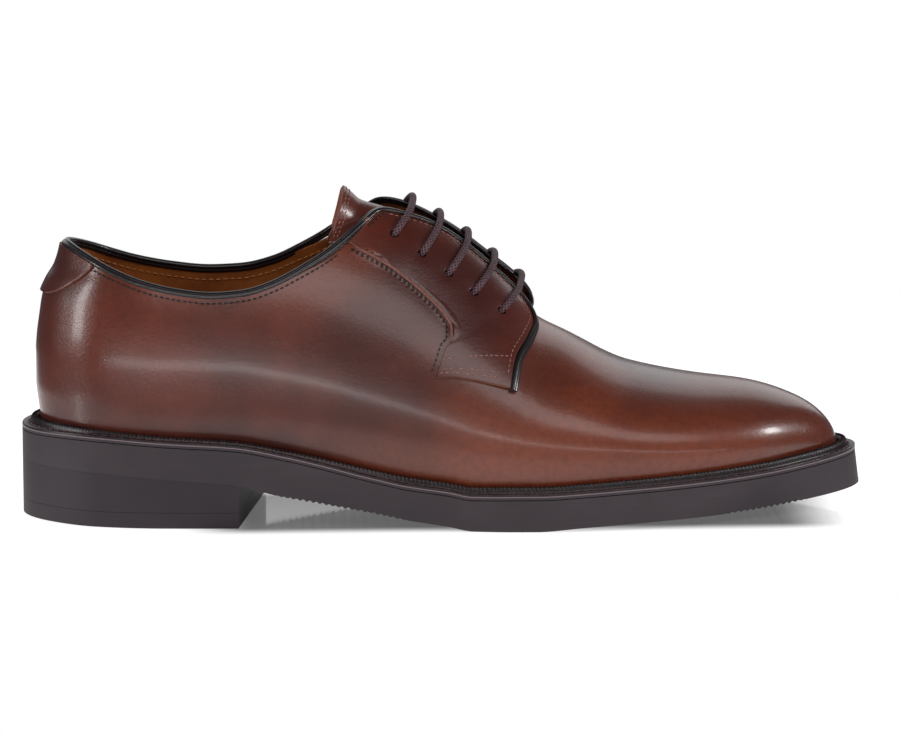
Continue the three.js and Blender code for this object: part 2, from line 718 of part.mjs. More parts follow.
function eyeletPlace(eyelet, side) {
  const x = shoeLength * eyelet.eyeletAt;
  const girth = ballWidth * eyelet.girth;
  const place = patternPlace(x, side, girth);
  return {
    centre: lastSurface(place.at, side, place.turn),
    normal: lastNormal(place.at, side, place.turn),
  };
}

function eyeletPunch(eyelet, side) {
  const { centre, normal } = eyeletPlace(eyelet, side);
  const reach = 4 * (facingRise + facingThickness);
  const pin = new THREE.CylinderGeometry(eyeletDiameter / 2, eyeletDiameter / 2, reach, eyeletCorners);
  const turn = new THREE.Quaternion().setFromUnitVectors(new THREE.Vector3(0, 1, 0), normal);
  return solidOf(pin.applyQuaternion(turn).translate(centre.x, centre.y, centre.z));
}

function punched(solid, side) {
  return laceTable.reduce((rest, eyelet) => rest.subtract(eyeletPunch(eyelet, side)), solid);
}

const makeFacing = (side) => geometryFrom(punched(solidOf(facingPlate(side)), side));

// The slot down the instep, with the same edge as the facings over it
function throatCutter() {
  const edge = { [lateral]: [], [medial]: [] };
  for (let i = -1; i <= throatSteps; i += 1) {
    sides.forEach((side) => {
      const spot = i < 0 ? leatherCorner(side) : facingEdge((throatRow * i) / throatSteps);
      const point = onPattern(spot.x, side, spot.y, 0);
      edge[side].push(new THREE.Vector2(point.x, point.y));
    });
  }
  const back = sides.map((side) => new THREE.Vector2(joinX - bindingHeight, edge[side][0].y));
  const shape = new THREE.Shape([back[0], ...edge[lateral], ...edge[medial].reverse(), back[1]]);
  const cutter = new THREE.ExtrudeGeometry(shape, { depth: instepHeight * 2, bevelEnabled: false });
  return solidOf(cutter.translate(0, 0, instepHeight * throatFloor));
}

function makeUpper() {
  let shell = lastForm(0, 0).subtract(lastForm(-wall, 4 * fit));
  sides.forEach((side) => {
    shell = shell.subtract(collarCutter(side));
  });
  return geometryFrom(shell.subtract(throatCutter()));
}

// The heel tab: a thin piece over the top of the back, deepest at its middle
function makeHeelTab() {
  const faces = [[], []];
  for (let i = -tabColumns; i <= tabColumns; i += 1) {
    const share = Math.abs(i) / tabColumns;
    const side = i < 0 ? lateral : medial;
    const at = tabHalfSpan * share ** 1.7;
    const topZ = solve((z) => {
      const spot = lastSurface(at, side, turnAtHeight(at, side, z));
      return z < topline(spot.x, side);
    }, backHeight * 0.8, backHeight) - (bindingHeight / 2 + 2 * fit);
    const depth = THREE.MathUtils.lerp(tabDepth, tabEndDepth, share ** 3.6) - bindingHeight / 2;
    const lines = [[], []];
    for (let j = 0; j <= tabRows; j += 1) {
      const turn = turnAtHeight(at, side, topZ - (depth * j) / tabRows);
      lines[0].push(offLast(at, side, turn, fit + tabThickness));
      lines[1].push(offLast(at, side, turn, fit));
    }
    faces[0].push(lines[0]);
    faces[1].push(lines[1]);
  }
  return plate(faces[0], faces[1], false);
}

// The binding runs up one facing, round the collar and down the other facing
function bindingPath() {
  const halfGrip = facingThickness / 2 + bindingGrip / 2;
  const strip = sides.map((side) => {
    const points = [];
    for (let i = edgeCount; i >= 0; i -= 1) {
      const row = i / edgeCount;
      const spot = facingFront(row);
      const place = patternPlace(spot.x, side, spot.y);
      const lift = facingLift(side, row, spot.y);
      points.push({ ...place, off: boundClear + halfGrip + lift, half: halfGrip });
    }
    const corner = collarCorner(side);
    for (let i = 1; i <= cornerCount; i += 1) {
      const spot = facingFront(0).lerp(corner, i / cornerCount);
      const lift = facingLift(side, 0, spot.y);
      const place = patternPlace(spot.x, side, spot.y);
      points.push({ ...place, off: boundClear + halfGrip + lift, half: halfGrip });
    }
    const start = points[points.length - 1].at;
    const topOff = points[points.length - 1].off;
    for (let i = 1; i <= collarCount; i += 1) {
      const angle = angleOf(start) * (1 - i / collarCount);
      const at = atOf(angle);
      const turn = solve((value) => {
        const spot = lastSurface(at, side, value);
        return spot.z < topline(spot.x, side);
      }, 0, 1);
      const blend = smooth(0, 0.12, i / collarCount);
      const off = THREE.MathUtils.lerp(topOff, -wall / 2, blend);
      const half = THREE.MathUtils.lerp(halfGrip, wall / 2 + bindingGrip, blend);
      points.push({ at, side, turn, off, half });
    }
    return points;
  });
  return [...strip[0], ...strip[1].reverse().slice(1)];
}

function makeBinding() {
  const path = bindingPath();
  const centres = path.map((p) => offLast(p.at, p.side, p.turn, p.off));
  const corners = cordCorners;
  const sections = path.map((p, i) => {
    const ahead = centres[Math.min(i + 1, path.length - 1)];
    const along = ahead.clone().sub(centres[Math.max(i - 1, 0)]).normalize();
    const normal = lastNormal(p.at, p.side, p.turn);
    const outward = along.clone().cross(normal).normalize();
    const round = Array.from({ length: corners }, (_, k) => (2 * Math.PI * (k + 0.5)) / corners);
    const wide = 1 / Math.cos(Math.PI / corners);
    return round.map((angle) => centres[i].clone()
      .addScaledVector(outward, (bindingHeight / 2) * Math.cos(angle) * wide)
      .addScaledVector(normal, p.half * Math.sin(angle) * wide));
  });
  return tube(sections);
}

// A place across the instep, counted from its middle line towards the inner side
function acrossInstep(x, across) {
  const middle = middleAt(x);
  const side = across < middle ? lateral : medial;
  return patternPlace(x, side, Math.abs(across - middle) + side * middle);
}

// The tongue lies under the facings and stands out of the collar, raised along its middle
const tongueColumn = (column) => reader(tongueTable, 'row', column);
const tongueAt = tongueColumn('at');
const tongueSweep = tongueColumn('sweep');
const tongueRise = tongueColumn('rise');
const tongueMiddle = tongueColumn('crown');

function makeTongue() {
  const faces = [[], []];
  for (let i = 0; i <= tongueRows; i += 1) {
    const row = i / tongueRows;
    const half = THREE.MathUtils.lerp(tongueTopWidth, tongueFrontWidth, row);
    const lines = [[], []];
    for (let j = -tongueColumns; j <= tongueColumns; j += 1) {
      const share = j / tongueColumns;
      const x = shoeLength * (tongueAt(row) - tongueSweep(row) * share * share);
      const drop = tongueDrop * (1 - smooth(0.42, 0.5, x / shoeLength));
      const crown = Math.max(1 - (share / tongueMiddle(row)) ** 2, 0);
      const off = tongueCrown * tongueRise(row) * crown - wall - 2 * fit - drop;
      const place = acrossInstep(x, share * half);
      lines[0].push(offLast(place.at, place.side, place.turn, off));
      lines[1].push(offLast(place.at, place.side, place.turn, off - tongueThickness));
    }
    faces[0].push(lines[0]);
    faces[1].push(lines[1]);
  }
  return plate(faces[0], faces[1], false);
}

// Lace bars: each lies over both facings and spans the throat between them
function makeLaceBar(eyelet) {
  const radius = laceDiameter / 2;
  const row = solve((value) => facingFront(value).x < shoeLength * eyelet.crownAt, 0, throatRow);
  const centres = [];
  const normals = [];
  for (let i = -laceSteps; i <= laceSteps; i += 1) {
    const share = i / laceSteps;
    const x = shoeLength * THREE.MathUtils.lerp(eyelet.crownAt, eyelet.eyeletAt, share * share);
    const across = share * ballWidth * eyelet.girth;
    const place = acrossInstep(x, across);
    const lifts = sides.map((side) => facingLift(side, row, Math.abs(across)));
    const lift = THREE.MathUtils.lerp(lifts[0], lifts[1], smooth(-0.2, 0.2, share));
    const off = 3 * fit + facingThickness + bindingGrip + lift + radius;
    centres.push(offLast(place.at, place.side, place.turn, off));
    normals.push(lastNormal(place.at, place.side, place.turn));
  }
  const sections = centres.map((centre, i) => {
    const ahead = centres[Math.min(i + 1, centres.length - 1)];
    const along = ahead.clone().sub(centres[Math.max(i - 1, 0)]).normalize();
    const outward = along.clone().cross(normals[i]).normalize();
    const up = outward.clone().cross(along).normalize();
    return Array.from({ length: cordCorners }, (_, k) => {
      const angle = (2 * Math.PI * k) / cordCorners;
      return centre.clone()
        .addScaledVector(outward, radius * Math.cos(angle))
        .addScaledVector(up, radius * Math.sin(angle));
    });
  });
  return tube(sections);
}

// Materials

const leather = () => new THREE.MeshStandardMaterial({ color: 0x6b2b22, roughness: 0.3, metalness: 0 });
const darkLeather = () => new THREE.MeshStandardMaterial({ color: 0x5a2219, roughness: 0.35, metalness: 0 });
const piping = () => new THREE.MeshStandardMaterial({ color: 0x241a1d, roughness: 0.35, metalness: 0 });
const weltLeather = () => new THREE.MeshStandardMaterial({ color: 0x2c2022, roughness: 0.35, metalness: 0 });
const rubber = () => new THREE.MeshStandardMaterial({ color: 0x44373e, roughness: 0.65, metalness: 0 });
const board = () => new THREE.MeshStandardMaterial({ color: 0xb07a3e, roughness: 0.6, metalness: 0 });
const cord = () => new THREE.MeshStandardMaterial({ color: 0x4b3436, roughness: 0.6, metalness: 0 });

// The shoe, with its origin under the middle of its outline
const shoe = new THREE.Group();
const ends = new THREE.Box3().setFromPoints([...soleRing, ...soleUnderRing]);
const middle = ends.getCenter(new THREE.Vector3());
shoe.position.set(-middle.x, -middle.y, 0);

function add(name, geometry, material) {
  const mesh = new THREE.Mesh(cleaned(geometry), material);
  mesh.name = name;
  shoe.add(mesh);
}

add('outsole', makeOutsole(), rubber());
add('heel_block', makeHeelBlock(), rubber());
add('heel_top_piece', makeTopPiece(), rubber());
add('welt', makeWelt(), weltLeather());
add('insole', makeInsole(), board());
add('upper', makeUpper(), leather());
add('facing_lateral', makeFacing(lateral), darkLeather());
add('facing_medial', makeFacing(medial), darkLeather());
add('heel_tab', makeHeelTab(), darkLeather());
add('binding', makeBinding(), piping());
add('tongue', makeTongue(), darkLeather());
laceTable.forEach((eyelet, i) => add(`lace_bar_${i + 1}`, makeLaceBar(eyelet), cord()));

export default shoe;
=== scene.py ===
from math import cos, pi, radians, sin

import bmesh
import bpy
import numpy as np
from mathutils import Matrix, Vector


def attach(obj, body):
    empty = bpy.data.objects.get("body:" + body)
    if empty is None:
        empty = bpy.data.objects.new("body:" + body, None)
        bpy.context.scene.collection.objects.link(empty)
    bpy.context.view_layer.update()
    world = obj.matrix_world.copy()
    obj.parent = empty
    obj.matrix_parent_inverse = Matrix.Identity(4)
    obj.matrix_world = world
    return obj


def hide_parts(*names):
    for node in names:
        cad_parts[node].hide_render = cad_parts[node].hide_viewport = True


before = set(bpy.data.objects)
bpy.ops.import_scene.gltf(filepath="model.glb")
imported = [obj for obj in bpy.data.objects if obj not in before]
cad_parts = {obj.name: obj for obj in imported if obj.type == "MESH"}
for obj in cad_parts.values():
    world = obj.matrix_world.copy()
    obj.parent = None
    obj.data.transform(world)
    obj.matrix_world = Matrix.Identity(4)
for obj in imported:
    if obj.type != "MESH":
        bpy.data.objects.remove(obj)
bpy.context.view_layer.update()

BODY = "root"

# Sizes of the shoe in millimetres, the same as the solids have
SHOE_LENGTH = 305
BALL_WIDTH = 87
INSTEP_HEIGHT = 112
BACK_HEIGHT = 100.3
BACK_LEAN = 11.4
BACK_TUCK = 1.3
HEEL_HEIGHT = 20.3
HEEL_LENGTH = 84
HEEL_SLANT = 11
HEEL_WIDTH = 70
TOP_PIECE = 5.6
SOLE_THICKNESS = 11.3
TOE_DRAFT = 1.5
SIDE_REACH = 6
HEEL_REACH = 6.6
TOE_REACH = 6.7
WALL = 2
FIT = 0.3
CREASE_HEIGHT = 2.5
RIB_HEIGHT = 4.2
WELT_THICKNESS = 2.2
FACING_THICKNESS = 1.7
TAB_THICKNESS = 1.2
BINDING_GRIP = 0.7
TONGUE_THICKNESS = 2
INSOLE_THICKNESS = 3
LACE_DIAMETER = 2.6
EYELET_DIAMETER = 3.4
FACING_RISE = 2
TONGUE_CROWN = 5.6
TAB_DEPTH = 19
TAB_HALF_SPAN = 0.056
MIDDLE_SHIFT = -0.017
UPPER_START = HEEL_REACH - BACK_TUCK
UPPER_LENGTH = SHOE_LENGTH - UPPER_START - TOE_REACH
LATERAL, MEDIAL = -1, 1
SIDES = {"lateral": LATERAL, "medial": MEDIAL}

# Leather and stitch sizes that only show close up
OUTER_LEATHER = 1.2
LINING = 0.7
LIP_HEIGHT = 1.35
LIP_WIDTH = 11
SKIVED_EDGE = 0.6
SEAM_EDGE_RADIUS = 0.6
EYELET_DIMPLE = 0.3
EYELET_DIMPLE_REACH = 3.0
TONGUE_TOP_WIDTH = 26.0
TONGUE_FRONT_WIDTH = 15.0
TONGUE_DROP = 0.6
STITCH_LIFT = 0.05
COLLAR_STITCH = 2.8
LINING_STITCH = 4.2
SEAM_STITCH = 1.7
FACING_STITCH = 2.6
LINING_GAP = 0.08
PIN_INWARD, PIN_OUTWARD = -6, 8


def table(names, *rows):
    """Named columns of numbers, one row for each section."""
    return dict(zip(names.split(), np.array(rows, float).T))


SOLE = table(
    "at under thick",
    (0.00, 1.000, 0.90), (0.07, 0.975, 0.99), (0.18, 0.862, 1.03), (0.25, 0.768, 1.08),
    (0.31, 0.547, 1.17), (0.36, 0.409, 1.09), (0.41, 0.281, 0.99), (0.45, 0.172, 0.96),
    (0.50, 0.075, 0.97), (0.53, 0.000, 0.98), (0.605, 0.000, 1.00), (0.66, 0.064, 0.96),
    (0.73, 0.118, 0.96), (0.80, 0.167, 0.97), (0.86, 0.217, 0.98), (0.93, 0.296, 0.98),
    (1.00, 0.369, 1.03),
)
LAST = table(
    "at outer inner outer_spring inner_spring rise ridge lean side top",
    (0.00, 0.000, 0.000, 0.000, 0.000, 0.200, 0.965, 0.000, 0.55, 0.55),
    (0.03, 0.195, 0.184, 0.012, 0.012, 0.205, 0.985, -0.003, 0.55, 0.55),
    (0.08, 0.305, 0.268, 0.018, 0.018, 0.215, 1.010, -0.010, 0.55, 0.55),
    (0.15, 0.356, 0.294, 0.024, 0.030, 0.230, 1.000, -0.025, 0.55, 0.55),
    (0.24, 0.368, 0.282, 0.030, 0.052, 0.240, 1.000, -0.030, 0.55, 0.55),
    (0.33, 0.368, 0.253, 0.036, 0.086, 0.240, 1.035, 0.000, 0.52, 0.50),
    (0.42, 0.402, 0.250, 0.040, 0.104, 0.232, 1.008, 0.030, 0.50, 0.45),
    (0.50, 0.454, 0.293, 0.040, 0.086, 0.205, 0.907, 0.050, 0.50, 0.45),
    (0.58, 0.498, 0.374, 0.034, 0.058, 0.170, 0.726, 0.060, 0.50, 0.48),
    (0.62, 0.504, 0.418, 0.029, 0.045, 0.156, 0.622, 0.063, 0.51, 0.50),
    (0.66, 0.506, 0.454, 0.024, 0.034, 0.142, 0.566, 0.065, 0.52, 0.52),
    (0.74, 0.475, 0.492, 0.018, 0.023, 0.116, 0.463, 0.069, 0.55, 0.55),
    (0.82, 0.414, 0.448, 0.014, 0.017, 0.094, 0.420, 0.063, 0.58, 0.58),
    (0.89, 0.322, 0.356, 0.012, 0.012, 0.080, 0.397, 0.052, 0.60, 0.60),
    (0.95, 0.190, 0.230, 0.007, 0.007, 0.060, 0.347, 0.040, 0.60, 0.60),
    (1.00, -0.034, 0.034, 0.000, 0.000, 0.000, 0.188, 0.034, 0.60, 0.60),
)
BACK = table(
    "height inward",
    (0.36, 0.114), (0.40, 0.070), (0.48, 0.000), (0.59, 0.000), (0.65, 0.035), (0.72, 0.120),
    (0.80, 0.240), (0.845, 0.410), (0.905, 0.720), (0.975, 0.900), (1.25, 1.230),
)
TOPLINE = table(
    "at outer inner",
    (0.050, 0.989, 0.989), (0.075, 0.954, 0.962), (0.100, 0.919, 0.931), (0.140, 0.873, 0.891),
    (0.180, 0.844, 0.866), (0.225, 0.829, 0.851), (0.265, 0.838, 0.856), (0.300, 0.870, 0.882),
    (0.330, 0.913, 0.922), (0.360, 0.960, 0.964), (0.383, 1.005, 1.008),
)
FACING = table(
    "row front_at front_girth rear_at rear_girth",
    (0.0, 0.405, 0.200, 0.383, 0.292), (0.1, 0.428, 0.105, 0.400, 0.325),
    (0.2, 0.453, 0.092, 0.423, 0.358), (0.3, 0.490, 0.078, 0.450, 0.400),
    (0.4, 0.533, 0.076, 0.478, 0.445), (0.5, 0.570, 0.080, 0.496, 0.485),
    (0.6, 0.594, 0.125, 0.506, 0.535), (0.7, 0.604, 0.205, 0.506, 0.585),
    (0.8, 0.597, 0.330, 0.499, 0.635), (0.9, 0.583, 0.490, 0.494, 0.695),
    (1.0, 0.577, 0.635, 0.487, 0.775),
)
LIFT = table(
    "row outer inner",
    (0.0, 0.00, 0.40), (0.1, 0.00, 0.90), (0.2, 0.30, 1.10), (0.3, 1.00, 1.00), (0.4, 1.00, 1.10),
    (0.5, 1.00, 1.70), (0.6, 1.10, 1.90), (0.7, 0.80, 1.40), (0.8, 0.40, 0.50), (0.9, 0.00, 0.00),
)
EYELETS = table(
    "at girth crown_at",
    (0.441, 0.224, 0.459), (0.472, 0.268, 0.490), (0.503, 0.297, 0.521), (0.532, 0.310, 0.551),
    (0.564, 0.297, 0.581),
)
TONGUE = table(
    "row at sweep rise crown",
    (0.00, 0.383, 0.018, 1.20, 0.75), (0.10, 0.393, 0.017, 0.84, 0.65),
    (0.22, 0.406, 0.015, 0.42, 0.55), (0.34, 0.431, 0.011, 0.28, 0.46),
    (0.72, 0.541, 0.003, 0.25, 0.42), (0.84, 0.577, 0.001, 0.00, 0.42),
    (1.00, 0.625, 0.000, 0.00, 0.42),
)
RIB = table(
    "at share",
    (0.00, 1.10), (0.12, 0.80), (0.28, 0.72), (0.45, 0.95), (0.70, 1.00), (1.00, 1.14),
)


class Curve:
    """A smooth reading of one column that never overshoots its rows."""

    def __init__(self, places, values):
        self.places = np.asarray(places, float)
        self.values = np.asarray(values, float)
        self.steps = np.diff(self.places)
        rates = np.diff(self.values) / self.steps
        self.slopes = np.zeros_like(self.values)
        self.slopes[0], self.slopes[-1] = rates[0], rates[-1]
        for i in range(1, len(rates)):
            if rates[i - 1] * rates[i] > 0:
                early = 2 * self.steps[i] + self.steps[i - 1]
                late = self.steps[i] + 2 * self.steps[i - 1]
                self.slopes[i] = (early + late) / (early / rates[i - 1] + late / rates[i])

    def __call__(self, place):
        x = np.clip(place, self.places[0], self.places[-1])
        i = np.clip(np.searchsorted(self.places, x, side="right") - 1, 0, len(self.steps) - 1)
        step = self.steps[i]
        t = (x - self.places[i]) / step
        start = (1 + 2 * t) * (1 - t) ** 2 * self.values[i] + t * (1 - t) ** 2 * step * self.slopes[i]
        end = t * t * (3 - 2 * t) * self.values[i + 1] + t * t * (t - 1) * step * self.slopes[i + 1]
        return start + end


def angle_of(at):
    return np.arccos(1 - 2 * np.clip(at, 0, 1))


def at_of(angle):
    return (1 - np.cos(angle)) / 2


def smooth(low, high, value):
    t = np.clip((np.asarray(value, float) - low) / (high - low), 0, 1)
    return t * t * (3 - 2 * t)


def mix(a, b, share):
    return a + (b - a) * share


def unit(v):
    return v / np.maximum(np.linalg.norm(v, axis=-1, keepdims=True), 1e-12)


SOLE_UNDER = Curve(SOLE["at"] * SHOE_LENGTH, SOLE["under"] * HEEL_HEIGHT)
SOLE_THICK = Curve(SOLE["at"] * SHOE_LENGTH, SOLE["thick"] * SOLE_THICKNESS)
LAST_CURVES = {name: Curve(angle_of(LAST["at"]), LAST[name]) for name in LAST if name != "at"}
BACK_CURVE = Curve(BACK["height"] * BACK_HEIGHT, BACK["inward"] * BACK_LEAN)
TOPLINES = {
    side: Curve(TOPLINE["at"] * SHOE_LENGTH, TOPLINE[name] * BACK_HEIGHT)
    for side, name in ((LATERAL, "outer"), (MEDIAL, "inner"))
}
FACING_CURVES = {
    name: Curve(FACING["row"], FACING[name] * (SHOE_LENGTH if name.endswith("at") else BALL_WIDTH))
    for name in FACING if name != "row"
}


def sole_top(x):
    return SOLE_UNDER(x) + SOLE_THICK(x)


# The last: angle runs from 0 at the heel to pi at the toe, and s from -1 at the outer feather
# line over the ridge at 0 to 1 at the inner one. Past either end it goes on round the other side.
WIDEST_TURN = 0.25
TUCK_SHARE = 0.45
HEEL_REACH_OF_BACK = 0.22


def last_point(angle, s):
    angle, s = np.broadcast_arrays(np.asarray(angle, float), np.asarray(s, float))
    s = np.where((angle < 0) | (angle > pi), -s, s)
    angle = np.where(angle > pi, 2 * pi - angle, np.abs(angle))
    col = {name: curve(angle) for name, curve in LAST_CURVES.items()}
    outer = s < 0
    side = np.where(outer, -1.0, 1.0)
    turn = 1 - np.abs(s)
    at = at_of(angle)
    x = UPPER_START + UPPER_LENGTH * at
    foot_y = side * BALL_WIDTH * np.where(outer, col["outer"], col["inner"])
    foot_z = sole_top(x) + FIT
    wide_y = foot_y + side * BALL_WIDTH * np.where(outer, col["outer_spring"], col["inner_spring"])
    rise = INSTEP_HEIGHT * col["rise"]
    wide_z = foot_z + rise
    ridge_y = BALL_WIDTH * col["lean"]
    ridge_z = np.maximum(INSTEP_HEIGHT * col["ridge"], wide_z)
    a = np.clip(turn / WIDEST_TURN, 0, 1)
    b = np.clip((turn - WIDEST_TURN) / (1 - WIDEST_TURN), 0, 1)
    low_y = (1 - a) ** 2 * foot_y + (2 * a * (1 - a) + a * a) * wide_y
    low_z = foot_z + 2 * a * (1 - a) * rise * TUCK_SHARE + a * a * rise
    side_z = wide_z + (ridge_z - wide_z) * col["side"]
    top_y = ridge_y + (wide_y - ridge_y) * col["top"]
    high_y = ((1 - b) ** 3 + 3 * b * (1 - b) ** 2) * wide_y + 3 * b * b * (1 - b) * top_y + b ** 3 * ridge_y
    high_z = (1 - b) ** 3 * wide_z + 3 * b * (1 - b) ** 2 * side_z + (3 * b * b * (1 - b) + b ** 3) * ridge_z
    low = turn < WIDEST_TURN
    y = np.where(low, low_y, high_y)
    z = np.where(low, low_z, high_z)
    hold = np.clip(1 - at / HEEL_REACH_OF_BACK, 0, 1) ** 2
    return np.stack([x + BACK_CURVE(z) * hold, y, z], -1)


def last_normal(angle, s, probe=2e-3):
    angle, s = np.broadcast_arrays(np.asarray(angle, float), np.asarray(s, float))
    along = last_point(angle + probe, s) - last_point(angle - probe, s)
    over = last_point(angle, np.clip(s + probe, -1, 1)) - last_point(angle, np.clip(s - probe, -1, 1))
    return unit(np.cross(along, over))


def off_last(angle, s, off):
    return last_point(angle, s) + last_normal(angle, s) * np.asarray(off, float)[..., None]


def solved(test, low, high):
    """Where test turns false between low and high, for arrays."""
    low, high = np.array(low, float), np.array(high, float)
    for _ in range(32):
        middle = (low + high) / 2
        good = test(middle)
        low, high = np.where(good, middle, low), np.where(good, high, middle)
    return (low + high) / 2


def angle_at(x):
    return angle_of((x - UPPER_START) / UPPER_LENGTH)


def middle_at(x):
    return BALL_WIDTH * (LAST_CURVES["lean"](angle_at(x)) + MIDDLE_SHIFT)


def on_pattern(x, side, girth):
    """The last's angle and s at x from the heel and girth round from the instep's middle line."""
    x, side, girth = (np.asarray(v, float) for v in (x, side, girth))
    x, side, girth = np.broadcast_arrays(x, side, girth)
    angle = angle_at(x)
    shares = np.linspace(0, 1, 90)
    line = last_point(angle[..., None], side[..., None] * shares)
    walked = np.cumsum(np.linalg.norm(np.diff(line, axis=-2), axis=-1), -1)
    walked = np.concatenate([np.zeros_like(walked[..., :1]), walked], -1)
    wanted = np.maximum(girth - side * middle_at(x), 0)
    flat = [np.interp(w, row, shares) for w, row in zip(wanted.ravel(), walked.reshape(-1, len(shares)))]
    return angle, side * np.reshape(flat, x.shape)


def pattern_spot(x, side, girth):
    """The last's point and outward normal at a place on the pattern."""
    angle, s = on_pattern(x, np.full_like(x, side), girth)
    return last_point(angle, s), last_normal(angle, s)


def across_instep(x, across):
    """The last's angle and s across the instep, counted from its middle line inwards."""
    middle = middle_at(x)
    side = np.where(across < middle, -1.0, 1.0)
    return on_pattern(x, side, np.abs(across - middle) + side * middle)


def s_where(angle, side, height_at):
    """s where the last's side first reaches the height that height_at gives for x."""
    angle = np.asarray(angle, float)

    def below(turn):
        spot = last_point(angle, side * (1 - turn))
        return spot[..., 2] < height_at(spot[..., 0])

    return side * (1 - solved(below, np.zeros_like(angle), np.ones_like(angle)))


def topline_s(angle, side, drop=0.0):
    """s where the last's side reaches the topline, less drop."""
    return s_where(angle, side, lambda x: TOPLINES[side](x) - drop)


# The ring round the shoe where the upper meets the welt: t goes heel to toe outside, then back
def ring_place(t, height):
    t = np.mod(t, 2 * pi)
    side = np.where(t <= pi, -1.0, 1.0)
    angle = np.where(t <= pi, t, 2 * pi - t)
    rise = INSTEP_HEIGHT * LAST_CURVES["rise"](angle)
    share = np.clip(height / np.maximum(rise, 1e-6), 0, 1)
    bend = 1 - 2 * TUCK_SHARE
    a = np.clip((np.sqrt(4 * TUCK_SHARE ** 2 + 4 * bend * share) - 2 * TUCK_SHARE) / (2 * bend), 0, 1)
    return last_point(angle, side * (1 - a * WIDEST_TURN))


def ring(t, height, reach):
    here = ring_place(t, height)
    along = ring_place(t + 0.02, height) - ring_place(t - 0.02, height)
    out = unit(np.stack([along[..., 1], -along[..., 0], 0 * along[..., 0]], -1))
    return here + out * np.asarray(reach, float)[..., None]


def sole_reach(t):
    at = at_of(t)
    heel = (HEEL_REACH - SIDE_REACH) * np.clip(1 - at / 0.1, 0, 1)
    toe = (TOE_REACH - SIDE_REACH) * np.clip((at - 0.85) / 0.15, 0, 1)
    return SIDE_REACH + heel + toe


def under_reach(t):
    return sole_reach(t) + TOE_DRAFT * smooth(0.85, 1, at_of(t))


DENSE_T = np.linspace(0, 2 * pi, 6001)
EDGE_RING = ring(DENSE_T, CREASE_HEIGHT, sole_reach(DENSE_T))
UNDER_RING = ring(DENSE_T, CREASE_HEIGHT, under_reach(DENSE_T))
RING_WALK = np.concatenate([[0], np.cumsum(np.linalg.norm(np.diff(EDGE_RING, axis=0), axis=1))])
RING_LENGTH = RING_WALK[-1]
RING_ENDS = np.concatenate([EDGE_RING, UNDER_RING])[:, :2]
SHIFT = np.array([*(-(RING_ENDS.min(0) + RING_ENDS.max(0)) / 2), 0.0])


def ring_t(walked):
    """The ring's t after walking round the sole's edge from the heel."""
    return np.interp(walked, RING_WALK, DENSE_T)


def in_frame(points):
    """Shoe millimetres to the frame's metres."""
    return (points + SHIFT) / 1000


# Meshes

def mesh_of(bm, name):
    mesh = bpy.data.meshes.new(name)
    bm.to_mesh(mesh)
    bm.free()
    return mesh


def dropped(piece):
    mesh = piece.data
    bpy.data.objects.remove(piece)
    bpy.data.meshes.remove(mesh)


def new_object(name, mesh, materials):
    for material in materials:
        mesh.materials.append(material)
    piece = bpy.data.objects.new(name, mesh)
    bpy.context.scene.collection.objects.link(piece)
    return piece


def edited(mesh, *steps):
    """Runs each step on the mesh's bmesh and writes it back."""
    bm = bmesh.new()
    bm.from_mesh(mesh)
    for step in steps:
        step(bm)
    bm.to_mesh(mesh)
    bm.free()


def weld(bm):
    bmesh.ops.remove_doubles(bm, verts=bm.verts, dist=2e-6)
    bmesh.ops.dissolve_degenerate(bm, edges=bm.edges, dist=1e-6)


def outward(bm):
    bmesh.ops.recalc_face_normals(bm, faces=bm.faces)


def turned_over(bm):
    bmesh.ops.reverse_faces(bm, faces=bm.faces)


def capped(bm):
    rim = [edge for edge in bm.edges if edge.is_boundary]
    bmesh.ops.holes_fill(bm, edges=rim, sides=0)


def softened(bm, limit=radians(38)):
    for face in bm.faces:
        face.smooth = True
    for edge in bm.edges:
        edge.smooth = not (len(edge.link_faces) == 2 and edge.calc_face_angle(0) > limit)


def shaped(name, along, across, place, materials, tile=None, steps=()):
    """A grid whose two shares, u and v, are carried by place to points in shoe millimetres.
    tile is the size in millimetres that the grid's own UV map has."""
    bm = bmesh.new()
    bmesh.ops.create_grid(bm, x_segments=along, y_segments=across, size=0.5)
    mesh = mesh_of(bm, name)
    flat = np.empty(len(mesh.vertices) * 3)
    mesh.vertices.foreach_get("co", flat)
    shares = flat.reshape(-1, 3)[:, :2] + 0.5
    points = in_frame(place(shares[:, 0], shares[:, 1]))
    mesh.vertices.foreach_set("co", points.ravel())
    if tile:
        corners = np.empty(len(mesh.loops), int)
        mesh.loops.foreach_get("vertex_index", corners)
        layer = mesh.uv_layers.new(name="UVMap")
        layer.data.foreach_set("uv", (shares[corners] * np.array(tile) / 1000).ravel())
    edited(mesh, *steps, softened)
    return new_object(name, mesh, materials)


def baked(piece, *modifiers):
    """Gives a piece its modifiers and makes their result its mesh."""
    for kind, settings in modifiers:
        modifier = piece.modifiers.new(kind.title(), kind)
        for key, value in settings.items():
            setattr(modifier, key, value)
    bpy.context.view_layer.update()
    shown = piece.evaluated_get(bpy.context.evaluated_depsgraph_get())
    mesh = bpy.data.meshes.new_from_object(shown)
    piece.modifiers.clear()
    piece.data = mesh
    edited(mesh, softened)
    return piece


def walled(thickness, even=False):
    """A sheet gets its thickness inwards, with its inner face and rim in the next two finishes."""
    return ("SOLIDIFY", {
        "thickness": thickness / 1000, "offset": -1, "use_even_offset": even, "use_rim": True,
        "material_offset": 1, "material_offset_rim": 2,
    })


def rounded(width, segments=2):
    return ("BEVEL", {
        "width": width / 1000, "segments": segments, "limit_method": "ANGLE",
        "angle_limit": radians(50), "use_clamp_overlap": True, "harden_normals": False,
    })


def on_body(piece, slot, *nodes):
    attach(piece, BODY)
    if nodes:
        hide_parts(*nodes)
    return piece


